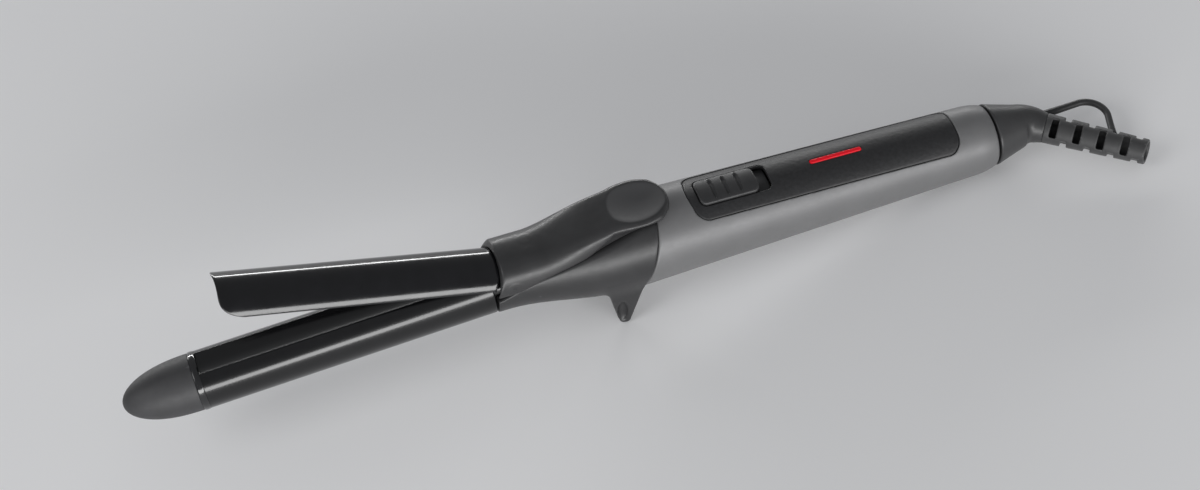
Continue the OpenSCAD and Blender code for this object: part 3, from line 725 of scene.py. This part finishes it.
def make_barrel():
    angles = barrel_angles()
    wrapped = (angles + math.pi) % (2 * math.pi) - math.pi
    outer = barrel_rho(wrapped)
    rings = [ring_at(RING_BACK + 0.2, outer - BARREL_WALL, angles)]
    rings.append(ring_at(RING_BACK, outer - BARREL_WALL + 0.1, angles))
    rings.append(ring_at(RING_BACK, outer - 0.1, angles))
    for x in np.linspace(RING_BACK + 0.1, SHOULDER - 0.5, 130):
        rings.append(ring_at(x, outer, angles))
    for a in np.linspace(0.2, math.pi / 2, 5):
        x, sink = SHOULDER - 0.5 + 0.5 * math.sin(a), 0.5 * (1 - math.cos(a))
        rings.append(ring_at(x, outer - sink, angles))
    rings.append(ring_at(SHOULDER, NECK_R + 0.3, angles))
    for a in np.linspace(0.3, math.pi / 2, 4):
        x, rise = SHOULDER + 0.3 * (1 - math.cos(a)), 0.3 * (1 - math.sin(a))
        rings.append(ring_at(x, NECK_R + rise, angles))
    for x in np.linspace(SHOULDER + 1, NECK_BACK, 12):
        rings.append(ring_at(x, NECK_R, angles))
    for x in np.linspace(NECK_BACK, SHOULDER - 0.4, 12):
        rings.append(ring_at(x, NECK_R - BARREL_WALL, angles))
    for x in np.linspace(SHOULDER - BARREL_WALL, RING_BACK + 0.2, 40):
        rings.append(ring_at(x, outer - BARREL_WALL, angles))
    points, faces = radial_mesh(rings, closed=False)
    obj = piece(
        "barrel", barrel_to_handle(points), faces, "housing", "coated_barrel", ["barrel_tube"]
    )
    keep_edges(obj)


def make_ring():
    width = RING_BACK - BARREL_FRONT
    bulge = []
    for x in np.linspace(BARREL_FRONT + 0.001, RING_BACK - 0.001, 15):
        rise = math.sin(math.pi * (x - BARREL_FRONT) / width) ** 0.5
        bulge.append((x, BARREL_R - 0.05 + RING_BULGE * rise))
    front = [(BARREL_FRONT, RING_IN_R), (BARREL_FRONT, RING_EDGE_R)]
    back = [(RING_BACK, RING_EDGE_R), (RING_BACK, RING_IN_R)]
    points, faces = lathe(front + bulge + back)
    obj = piece(
        "tip_band", barrel_to_handle(points), faces, "housing", "tip_ring", ["tip_ring"]
    )
    keep_edges(obj)


def make_cap():
    steps = 44
    nose = []
    for i in range(steps + 1):
        t = 1 - (1 - i / steps) ** 2.1
        nose.append((BARREL_FRONT - CAP_LEN * t, CAP_R * math.sqrt(max(0, 1 - t**2.3))))
    stem_end = BARREL_FRONT + CAP_STEM_LEN
    profile = [(stem_end, 5.0), (stem_end, CAP_STEM_R), (BARREL_FRONT, CAP_STEM_R)]
    # small round at the cap's open edge
    for back, sink in ((0, 0.35), (0.04, 0.15), (0.16, 0.03)):
        profile.append((BARREL_FRONT - back, CAP_R - sink))
    profile += [p for p in nose if p[0] < BARREL_FRONT - 0.3]
    points, faces = lathe(profile[::-1])
    obj = piece(
        "nose_cap", barrel_to_handle(points), faces, "housing", "tip_cap", ["tip_cap"]
    )
    keep_edges(obj)


# ---------------------------------------------------------------- clamp plate


def plate_point(u, v, side):
    """Point of the sheet's upper (side 1) or lower (-1) face.

    u runs from 0 at the free end to 1 at the tail, v from -1 at the near edge to 1 at the far one.
    """
    half, mid_r, hem_w = math.radians(PLATE_ANGLE), PLATE_R - PLATE_T / 2, 0.3
    corner_len, corner_h = PLATE_CORNERS[1 if v > 0 else -1]
    drop = (PLATE_R * math.cos(half) - PLATE_R * math.cos(half * v)) / corner_h + 1
    drop = min(1.0, max(0.0, drop))
    front = corner_len * (1 - math.sqrt(1 - drop**2)) - PLATE_REACH
    x = front + (PLATE_TAIL_BACK - front) * u
    narrow = ease(np.array((x - PLATE_TAIL_FRONT) / 1.2))
    a = v * (half + (math.asin(PLATE_TAIL_W / mid_r) - half) * narrow)
    # the sheet thins to a round hem at its edges
    hem = min(1.0, (1 - abs(v)) * half * mid_r / hem_w, (x - front) / hem_w)
    r = mid_r + side * PLATE_T / 2 * math.sqrt(max(0, 1 - (1 - hem) ** 2))
    return x, r * math.sin(a), r * math.cos(a)


def make_plate():
    """Sheet wrapped round the plate's axis, with rounded free corners and hemmed edges."""
    across, along = 96, 150
    # rows and columns lie closer together at the hems
    vs = np.linspace(-1, 1, across + 1)
    vs = np.sign(vs) * (1 - (1 - np.abs(vs)) ** 1.25)
    us = np.concatenate([[0, 0.0015, 0.004], np.linspace(0.008, 1, along - 2)])
    n, w = len(us), across + 1
    points = np.array([plate_point(u, v, side) for side in (1, -1) for u in us for v in vs])
    faces = []
    for i in range(n - 1):
        for j in range(across):
            q = (i * w + j, (i + 1) * w + j, (i + 1) * w + j + 1, i * w + j + 1)
            faces.append(q)
            faces.append(tuple(n * w + k for k in q[::-1]))
    for j in range(across):
        q = (j, j + 1, n * w + j + 1, n * w + j)
        faces.append(q)
        end = (n - 1) * w
        faces.append((end + j + 1, end + j, n * w + end + j, n * w + end + j + 1))
    for i in range(n - 1):
        faces.append((i * w, n * w + i * w, n * w + (i + 1) * w, (i + 1) * w))
        k = across
        faces.append((i * w + k, (i + 1) * w + k, n * w + (i + 1) * w + k, n * w + i * w + k))
    piece("clamp_blade", plate_to_handle(points), faces, "clamp", "coated_clamp", ["clamp_plate"])


# ---------------------------------------------------------------- lever and collar


def lever_front(x, z):
    """Distance in front of the lever's slanted front, which follows the open plate."""
    tilt = math.radians(CLAMP_OPEN - DROOP)
    return (-7.2 - (14 - z) * math.tan(tilt) - x) * math.cos(tilt)


def lever_outside(x, y, z):
    side, reach = np.abs(y), np.hypot(y, z)
    # a narrow lower part in line with the collar, and the wider spoon over it
    low = blend_max(side - keel_w(x), behind_seam(x, z, -0.5), 1.5)
    neck_w = 9.7 - 0.6 * ease((x - 12) / 12)
    neck = blend_max(side - neck_w, x - 37, 3.0)
    spoon = blend_min(neck, ellipse(x - DISH_X, y, DISH_LEN, DISH_W), 2.5)
    flare = np.interp(x, [11, 30], [6, 16.3])
    spoon = blend_max(spoon, flare - z, 0.9)
    shape = blend_min(low, spoon, 3.0)
    # the near shoulder is rounder than the far one
    shape = blend_max(shape, reach - lever_r(x), 1.5 + 3.5 * ease(-(y + 2) / 4))
    shape = blend_max(shape, z - lever_top(x), 2.0)
    _, zp = handle_to_plate(x, z)
    bevel = np.clip(np.hypot(y, zp) - PLATE_R - 0.4, 0, 3) * 0.6 * (side / 11) ** 2
    return blend_max(shape, lever_front(x, z) + bevel, 0.45)


def lever_hollow(x, y, z):
    side, reach = np.abs(y), np.hypot(y, z)
    inner = blend_max(reach - lever_r(x) + LEVER_WALL, side - keel_w(x) + LEVER_WALL, 1.5)
    roof = np.minimum(15, lever_top(x) - LEVER_WALL)
    inner = blend_max(inner, z - roof, 1.0)
    inner = blend_max(inner, lever_front(x, z) + LEVER_WALL, 0.8)
    return blend_max(inner, x - 41, 1.0)


def lever_field(x, y, z):
    side = np.abs(y)
    outside = lever_outside(x, y, z)
    shape = cut(outside, lever_hollow(x, y, z), 0.5)
    # bosses round the pin and posts for the plate's stakes
    xp, zp = handle_to_plate(x, z)
    pin_reach = np.hypot(x - HINGE_X, z - HINGE_Z)
    boss = np.maximum(pin_reach - BOSS_R, BOSS_IN - side)
    post = np.hypot(xp - STAKE_X, side - STAKE_Y) - STAKE_R
    post = np.maximum(post, PLATE_R - PLATE_T + 0.2 - zp)
    bosses = np.maximum(blend_min(boss, post, 0.3), outside + 0.2)
    shape = blend_min(shape, bosses, 0.5)
    shape = blend_max(shape, lever_floor(x) - z, 0.35)
    # room for the plate's tail
    mouth = np.maximum(np.hypot(y, zp) - PLATE_R - 0.35, side - 9.95)
    mouth = np.maximum(np.maximum(mouth, xp - PLATE_TAIL_BACK - 0.4), -zp)
    shape = cut(shape, mouth, 0.4)
    ball_x = (x - DISH_X) / DISH_STRETCH
    ball = np.sqrt(ball_x**2 + y**2 + (z - DISH_BALL_Z) ** 2) - DISH_BALL
    shape = cut(shape, ball, 0.45)
    # the pin's hole is blind on the near side
    return cut(shape, np.maximum(pin_reach - PIN_R - 0.07, -10.1 - y), 0.2)


def make_lever():
    xs = graded((-11, 52.2, 0.36))
    ys = graded((-12.2, 12.2, 0.36))
    zs = graded((3.2, 20, 0.34))
    points, faces = skin(lever_field, xs, ys, zs)
    piece("thumb_lever", points, faces, "clamp", "lever_plastic", ["clamp_lever"])


def table_height(x, z):
    """Height above the table of a point on the handle's axes, in millimetres."""
    return ORIGIN[2] / MM + x * ALONG[2] + z * ABOVE[2]


def screw_room(x, y, z, turn, r, floor):
    """Two blind screw holes from below, tilted outwards by turn degrees.

    They lie across x = 0 and end at the depth floor under the axis.
    """
    a = math.radians(turn)
    u = np.abs(y) * math.cos(a) + z * math.sin(a)
    w = -np.abs(y) * math.sin(a) + z * math.cos(a)
    return np.maximum(np.hypot(x, u) - r, w + floor)


def leg_field(x, y, z):
    side = np.abs(y)
    front = np.interp(z, [-26.2, -21.5, -15, -6], [30.2, 28.6, 27.2, 25.6])
    back = np.interp(z, [-26.2, -23, -16, -6], [33.4, 34.4, 36.2, 38.8])
    inner = np.interp(z, [-26.2, -12, -5], [11.3, 10.4, 8.8])
    outer = np.interp(z, [-26.2, -16, -4], [14.25, 14.0, 13.8])
    along = blend_max(front - x, x - back, 1.4)
    across = blend_max(inner - side, side - outer, 0.8)
    leg = blend_max(along, across, 1.3)
    leg = blend_max(leg, z + 2.5, 0.5)
    # oval pocket in the outer side
    u, v, w = (x - 30.0) / 1.9, (z + 17.6) / 5.0, (side - 14.3) / 2.0
    leg = cut(leg, (np.sqrt(u**2 + v**2 + w**2) - 1) * 1.5, 0.5)
    return blend_max(leg, -table_height(x, z), 1.6)


def collar_field(x, y, z):
    side, reach = np.abs(y), np.hypot(y, z)
    shape = blend_max(reach - collar_r(x), COLLAR_FRONT - x, 0.5)
    shape = blend_max(shape, behind_seam(x, z), 0.4)
    shape = blend_min(shape, leg_field(x, y, z), 2.0)
    shape = blend_max(shape, behind_seam(x, z), 0.4)
    spigot = np.maximum(np.maximum(reach - SPIGOT_R, x - SPIGOT_BACK), SPIGOT_FRONT - x)
    shape = blend_min(shape, spigot, 0.3)
    shape = np.where(
        behind_seam(x, z, 0.05) > 0, shape, blend_max(shape, z - deck_z(x), 0.8)
    )
    xb, zb = swing(x, z, DROOP)
    neck = np.maximum(np.hypot(y, zb) - NECK_R - 0.03, xb - NECK_BACK)
    shape = cut(shape, neck, 0.3)
    # room for the wires
    back_r = SPIGOT_R - 1.6
    hollow_r = np.interp(x, [13, 13.01, 19, 30, 39, 56], [-2, 5.8, 9, 12, back_r, back_r])
    roof = np.interp(x, [0, 16, 24, 32, 40, 42], [4.5, 7, 9, 10.6, 11.6, 20])
    hollow = np.maximum(reach - hollow_r, z - roof)
    shape = cut(shape, hollow, 0.4)
    # ears for the hinge pin
    pin_reach = np.hypot(x - HINGE_X, z - HINGE_Z)
    upright = np.maximum(np.abs(x - HINGE_X) - BOSS_R, np.maximum(z - HINGE_Z, 1 - z))
    ear = np.minimum(pin_reach - BOSS_R, upright)
    ear = blend_max(ear, np.maximum(EAR_IN - side, side - EAR_OUT), 0.3)
    ear = np.maximum(ear, NECK_R - np.hypot(y, zb))
    shape = blend_min(shape, ear, 0.4)
    shape = cut(shape, np.maximum(pin_reach - PIN_R, side - 9), 0.15)
    floor = collar_r(BARREL_SCREW_X) - 1.7
    room = screw_room(x - BARREL_SCREW_X, y, z, BARREL_SCREW_TURN, 1.9, floor)
    return cut(shape, room, 0.25)


def make_collar():
    xs = graded((-10.8, 14, 0.42), (14, 25, 0.5), (25, 47, 0.38), (47, 55.6, 0.8))
    ys = graded((-15.8, -8, 0.38), (-8, 8, 0.55), (8, 15.8, 0.38))
    zs = graded((-25.2, -12, 0.4), (-12, 14.8, 0.42))
    points, faces = skin(collar_field, xs, ys, zs)
    piece("lower_housing", points, faces, "housing", "collar_plastic", ["lower_collar"])


# ---------------------------------------------------------------- handle, panel and button


def panel_plan(x, y, inset):
    """Distance outside the panel's outline, seen from above."""
    mid = (PANEL_FRONT + PANEL_BACK) / 2
    flat = PANEL_HALF_W - inset - PANEL_CORNER
    bow = PANEL_BOW * np.minimum(1, np.abs(y) / flat) ** 2 * (x < mid)
    half = (PANEL_BACK - PANEL_FRONT) / 2 - inset
    return rounded_rect(x - bow - mid, y, half, PANEL_HALF_W - inset, PANEL_CORNER)


def shell_field(x, y, z):
    reach = np.hypot(y, z)
    shape = blend_max(reach - handle_r(x), -behind_seam(x, z, 0.15), 0.6)
    shape = blend_max(shape, x - HANDLE_END, 0.8)
    hollow = np.maximum(reach - handle_r(x) + HANDLE_WALL, x - HANDLE_END + BUSH_LEN)
    shape = cut(shape, hollow, 0.3)
    floor = handle_r(x) - PANEL_SINK - PANEL_T
    seat = np.maximum(np.maximum(panel_plan(x, y, 0), floor - reach), -z)
    shape = cut(shape, seat, 0.35)
    shape = cut(shape, np.maximum(panel_plan(x, y, 1.3), -z), 0.3)
    shape = cut(shape, reach - BUSH_R, 0.3)
    floor = handle_r(HANDLE_SCREW_X) - 1.8
    room = screw_room(x - HANDLE_SCREW_X, y, z, HANDLE_SCREW_TURN, 2.0, floor)
    return cut(shape, room, 0.3)


def make_handle():
    xs = graded(
        (34.5, 47, 0.4), (47, 48, 0.8), (48, 52.4, 0.45), (52.4, 56.2, 1.1), (56.2, 63.4, 0.34),
        (63.4, 146.5, 1.9), (146.5, 153.7, 0.34), (153.7, 160, 1.0), (160, 166.6, 0.4),
    )
    ys = graded(
        (-15.9, -11, 0.5), (-11, -7.6, 0.28), (-7.6, 7.6, 0.6), (7.6, 11, 0.28), (11, 15.9, 0.5),
    )
    zs = graded((-15.9, 7, 0.6), (7, 15.8, 0.3))
    points, faces = skin(shell_field, xs, ys, zs)
    piece("handle_grip", points, faces, "housing", "handle_plastic", ["handle_shell"])


BUTTON_MID = BUTTON_FRONT + BUTTON_LEN / 2


def panel_field(x, y, z):
    reach = np.hypot(y, z)
    shape = blend_max(reach - handle_r(x) + PANEL_SINK, panel_plan(x, y, 0.1), 0.5)
    shape = blend_max(shape, handle_r(x) - PANEL_SINK - PANEL_T - reach, 0.2)
    slot_len = BUTTON_LEN + SWITCH_TRAVEL + 2 * SLOT_GAP
    slot_x = x - BUTTON_FRONT + SLOT_GAP - slot_len / 2
    slot = rounded_rect(slot_x, y, slot_len / 2, BUTTON_HALF_W + SLOT_GAP, 2.3)
    shape = cut(shape, slot, 0.45)
    lens_x = x - (LENS_FRONT + LENS_BACK) / 2
    lens = rounded_rect(lens_x, y, (LENS_BACK - LENS_FRONT) / 2, LENS_HALF_W, 0.7)
    return cut(shape, lens, 0.2)


def make_panel():
    xs = graded(
        (56.9, 64, 0.26), (64, 82.6, 0.6), (82.6, 87, 0.26), (87, 100.2, 1.2), (100.2, 103, 0.2),
        (103, 117.2, 0.8), (117.2, 120, 0.2), (120, 146.6, 1.2), (146.6, 153, 0.26),
    )
    ys = graded(
        (-10, -8.6, 0.2), (-8.6, -6.2, 0.35), (-6.2, -2.8, 0.24), (-2.8, -1.2, 0.35),
        (-1.2, 1.2, 0.16), (1.2, 2.8, 0.35), (2.8, 6.2, 0.24), (6.2, 8.6, 0.35), (8.6, 10, 0.2),
    )
    zs = graded((4.4, 15.2, 0.26))
    points, faces = skin(panel_field, xs, ys, zs)
    piece("control_strip", points, faces, "housing", "panel_plastic", ["control_panel"])


def button_field(x, y, z):
    reach, side = np.hypot(y, z), np.abs(y)
    plan = rounded_rect(x - BUTTON_MID, y, BUTTON_LEN / 2, BUTTON_HALF_W, 2.2)
    shape = blend_max(reach - handle_r(x) - 0.25, plan, 0.7)
    shape = blend_max(shape, handle_r(x) - 2.6 - reach, 0.2)
    # the grooves run out towards their ends
    fade = 0.55 * np.clip((side - 2) / 2.2, 0, 1) ** 2
    for i in range(3):
        across = x - BUTTON_FRONT - GROOVE_FIRST - GROOVE_PITCH * i
        groove = np.hypot(across, reach - handle_r(x) - 0.3) - GROOVE_R + fade
        shape = cut(shape, groove, 0.2)
    foot = rounded_rect(x - BUTTON_MID - 1.8, y, BUTTON_LEN / 2 + 2.2, 6.2, 0.8)
    foot = np.maximum(foot, np.abs(reach - handle_r(x) + 2.8) - 0.5)
    shape = blend_min(shape, foot, 0.3)
    stem = np.maximum(np.abs(x - STEM_X), side) - STEM_HALF
    stem = np.maximum(stem, np.maximum(STEM_LOW - z, z - STEM_HIGH))
    return np.minimum(shape, stem)


def make_button():
    xs = graded((60.2, 86.3, 0.24))
    ys = graded((-7, 7, 0.26))
    zs = graded((7.6, 15.6, 0.24))
    points, faces = skin(button_field, xs, ys, zs)
    piece("switch_slider", points, faces, "button", "button_plastic", ["slide_button"])


def lens_field(x, y, z):
    reach = np.hypot(y, z)
    mid, half = (LENS_FRONT + LENS_BACK) / 2, (LENS_BACK - LENS_FRONT) / 2
    bar = rounded_rect(x - mid, y, half - 0.06, LENS_HALF_W - 0.06, 0.65)
    shape = blend_max(reach - handle_r(x) + 0.02, bar, 0.5)
    shape = np.maximum(shape, handle_r(x) - 2.5 - reach)
    flange = rounded_rect(x - mid, y, half + 1.2, 2.0, 0.5)
    flange = np.maximum(flange, np.abs(reach - handle_r(x) + 2.35) - 0.3)
    return np.minimum(shape, flange)


def make_lens():
    xs = graded((99.2, 103, 0.2), (103, 117.2, 0.5), (117.2, 120.9, 0.2))
    ys = graded((-2.3, 2.3, 0.13))
    zs = graded((9.4, 13.8, 0.16))
    points, faces = skin(lens_field, xs, ys, zs)
    piece("power_lens", points, faces, "housing", "indicator_lens", ["indicator_lens"])


# ---------------------------------------------------------------- cord outlet


def boot_radius(s):
    share = np.clip((s - BOOT_ROOT) / (BOOT_LEN - BOOT_ROOT), 0, 1)
    return BOOT_ROOT_R + (BOOT_END_R - BOOT_ROOT_R) * share


ELBOW_START = CORNER_X - ELBOW_TURN * math.tan(math.radians(OUTLET_BEND / 2))
ELBOW_ARC = ELBOW_TURN * math.radians(OUTLET_BEND)


def along_elbow(x, y):
    """Distance along the elbow's bent middle line from where it turns, and offset from it."""
    s, t = handle_to_boot(x, y)
    turned = np.arctan2(x - ELBOW_START, np.maximum(y + ELBOW_TURN, 1e-6))
    arc_offset = np.hypot(x - ELBOW_START, y + ELBOW_TURN) - ELBOW_TURN
    after = turned > math.radians(OUTLET_BEND)
    run = np.where(turned < 0, x - ELBOW_START, ELBOW_TURN * turned)
    run = np.where(after, ELBOW_ARC + s - (CORNER_X - ELBOW_START), run)
    return run, np.where(turned < 0, y, np.where(after, t, arc_offset))


def elbow_field(x, y, z):
    reach = np.hypot(y, z)
    s, t = handle_to_boot(x, y)
    run, offset = along_elbow(x, y)
    first = HANDLE_END + 0.7 - ELBOW_START
    last = ELBOW_ARC + ELBOW_ROOT - (CORNER_X - ELBOW_START)
    left = np.clip((last - run) / (last - first), 0, 1)
    end_r = boot_radius(ELBOW_ROOT)
    r = end_r + (ELBOW_FRONT_R - end_r) * left**1.1
    shape = blend_max(np.hypot(offset, z) - r, first - run, 0.7)
    shape = blend_max(shape, run - last, 0.2)
    neck = np.maximum(reach - SWIVEL_R, np.maximum(x - 169, SWIVEL_FRONT - x))
    groove = np.maximum(np.abs(x - CLIP_X) - CLIP_HALF_W, CLIP_R - reach)
    shape = blend_min(shape, np.maximum(neck, -groove), 0.3)
    shape = cut(shape, np.maximum(reach - SWIVEL_BORE_R, x - CORNER_X), 0.2)
    shape = cut(shape, np.maximum(np.hypot(t, z) - SWIVEL_BORE_R, -s), 0.2)
    return cut(shape, np.maximum(np.hypot(t, z) - PLUG_R - 0.05, BOOT_ROOT - 0.1 - s), 0.2)


def make_elbow():
    xs = graded((156.8, 165.8, 0.5), (165.8, 191.4, 0.36))
    ys = graded((-14, 11.4, 0.38))
    zs = graded((-11.4, 11.4, 0.38))
    points, faces = skin(elbow_field, xs, ys, zs)
    piece("swivel_cone", points, faces, "swivel", "elbow_plastic", ["swivel_elbow"])


def boot_field(s, t, z):
    reach = np.hypot(t, z)
    # above 0 on the side that faces up and forwards
    nearness = 0.74 * z - 0.67 * t
    end = s - BOOT_LEN + 0.15 * (nearness + BOOT_END_R)
    shape = blend_max(reach - boot_radius(s), ELBOW_ROOT + 0.05 - s, 0.15)
    shape = blend_max(shape, end, 0.45)
    a = math.radians(WINDOW_TURN)
    u = math.cos(a) * t + math.sin(a) * z
    for i in range(4):
        at = FIRST_WINDOW + i * WINDOW_PITCH
        window = rounded_rect(s - at, u, 1.2, 3.2, 0.5)
        window = np.maximum(window, np.where(nearness > 0, 2.8 - reach, 3.7 - reach))
        shape = cut(shape, window, 0.4)
        notch = rounded_rect(s - at - WINDOW_PITCH / 2, np.abs(u) - 5.1, 1.1, 1.6, 0.4)
        shape = cut(shape, notch, 0.4)
    plug = np.maximum(reach - PLUG_R, np.maximum(BOOT_ROOT - s, s - PLUG_BACK))
    shape = blend_min(shape, plug, 0.2)
    return cut(shape, reach - CORD_HOLE_R, 0.5)


def make_boot():
    xs = graded((3.2, 42, 0.26))
    ys = graded((-5.6, 5.6, 0.28))
    points, faces = skin(boot_field, xs, ys, ys)
    piece("cord_sleeve", boot_to_handle(points), faces, "swivel", "boot_rubber", ["cord_boot"])


def make_loop():
    """Rod that rises from the elbow, bends over and comes down on the boot."""
    root, tip, centre = (np.array(p) for p in (LOOP_ROOT, LOOP_TIP, LOOP_CENTRE))

    def tangent(gap, side):
        """Direction from the bend's middle to the place where a straight leg touches the bend."""
        lean = side * math.asin(LOOP_BEND_R / math.hypot(*gap))
        return math.atan2(gap[1], gap[0]) + lean + math.pi / 2

    def on_bend(angle):
        return centre + LOOP_BEND_R * np.array([math.cos(angle), math.sin(angle)])

    rise, fall = tangent(centre - root, 1), tangent(tip - centre, -1)
    start, end = on_bend(rise), on_bend(fall)
    path = [root + (start - root) * t for t in np.linspace(-0.1, 1, 16)[:-1]]
    path += [on_bend(angle) for angle in np.linspace(rise, fall, 40)]
    path += [end + (tip - end) * t for t in np.linspace(0, 1.12, 12)[1:]]
    path = np.array(path)
    run = np.concatenate([[0], np.cumsum(np.linalg.norm(np.diff(path, axis=0), axis=1))])
    ways = np.gradient(path, axis=0)
    ways /= np.linalg.norm(ways, axis=1)[:, None]
    n = 28
    turn = np.linspace(0, 2 * math.pi, n, endpoint=False)
    rings = []
    for p, w, s in zip(path, ways, run):
        r = LOOP_ROD_R + 0.45 * math.exp(-s / 8) + 0.25 * math.exp(-(run[-1] - s) / 2)
        out = np.array([-w[1], w[0]])
        ring = [(*(p + out * r * math.cos(a)), r * math.sin(a)) for a in turn]
        rings.append(np.array(ring))
    points, faces = radial_mesh(rings)
    piece("hang_loop", boot_to_handle(points), faces, "swivel", "loop_plastic", ["hanging_loop"])


# ---------------------------------------------------------------- the object

make_barrel()
make_ring()
make_cap()
make_plate()
make_lever()
make_collar()
make_handle()
make_panel()
make_button()
make_lens()
make_elbow()
make_boot()
make_loop()

for node in frame["nodes"].values():
    for holder in node.material_slots:
        holder.material = MATERIALS[holder.material.name.split(".")[0]]

# ---------------------------------------------------------------- floor, light and camera


FLOOR_DROP = 0.05 * MM


def make_floor():
    half = 4.0
    mesh = bpy.data.meshes.new("floor")
    corners = [(-half, -half, 0), (half, -half, 0), (half, half, 0), (-half, half, 0)]
    mesh.from_pydata(corners, [], [(0, 1, 2, 3)])
    floor = bpy.data.objects.new("floor", mesh)
    bpy.context.scene.collection.objects.link(floor)
    floor.location = (0, 0, -FLOOR_DROP)
    n = Nodes("floor_paper")
    n.link(
        n.mix(n.spread(n.noise(3, 3), 0, 1), (0.86, 0.86, 0.87), (0.9, 0.9, 0.905)),
        n.shader.inputs["Base Color"],
    )
    n.shader.inputs["Roughness"].default_value = 0.8
    mesh.materials.append(n.material)


def soft_light(name, azimuth, elevation, distance, size, watts, target=(0, 0, 0.03)):
    """Rectangular light that looks at the target; size is (width, height) in metres."""
    light = bpy.data.lights.new(name, "AREA")
    light.shape = "RECTANGLE"
    light.size, light.size_y = size
    light.energy = watts
    obj = bpy.data.objects.new(name, light)
    bpy.context.scene.collection.objects.link(obj)
    a, e = math.radians(azimuth), math.radians(elevation)
    out = Vector((math.sin(a) * math.cos(e), -math.cos(a) * math.cos(e), math.sin(e)))
    obj.location = Vector(target) + out * distance
    obj.rotation_euler = out.to_track_quat("Z", "Y").to_euler()


def make_camera():
    """The photograph's viewpoint: looking down on the near side from slightly towards the tip."""
    camera = bpy.data.objects.new("camera", bpy.data.cameras.new("camera"))
    bpy.context.scene.collection.objects.link(camera)
    azimuth, elevation, roll = -10.142, 52.7075, 11.73
    distance, target = 0.69139, Vector((-0.013996, 0.004833, 0.030))
    a, e = math.radians(azimuth), math.radians(elevation)
    out = Vector((math.sin(a) * math.cos(e), -math.cos(a) * math.cos(e), math.sin(e)))
    right = Vector((math.cos(a), math.sin(a), 0))
    up = out.cross(right)
    turn = math.radians(roll)
    right, up = (
        right * math.cos(turn) - up * math.sin(turn),
        right * math.sin(turn) + up * math.cos(turn),
    )
    basis = Matrix((right, up, out)).transposed().to_4x4()
    basis.translation = target + out * distance
    camera.matrix_world = basis
    camera.data.sensor_width = 36
    camera.data.lens = 64.05
    camera.data.clip_start, camera.data.clip_end = 0.02, 20
    bpy.context.scene.camera = camera


def make_world():
    world = bpy.data.worlds.new("studio")
    world.use_nodes = True
    background = world.node_tree.nodes["Background"]
    background.inputs["Color"].default_value = (0.95, 0.97, 1.0, 1)
    background.inputs["Strength"].default_value = 0.27
    bpy.context.scene.world = world
    bpy.context.scene.view_settings.view_transform = "Standard"


make_floor()
make_world()
soft_light("front_strip", azimuth=0, elevation=10, distance=1.3, size=(2.2, 0.34), watts=21)
soft_light("back_strip", azimuth=176, elevation=9, distance=1.5, size=(2.4, 0.09), watts=15)
soft_light("tip_box", azimuth=-78, elevation=42, distance=1.2, size=(0.6, 0.6), watts=2.5)
make_camera()
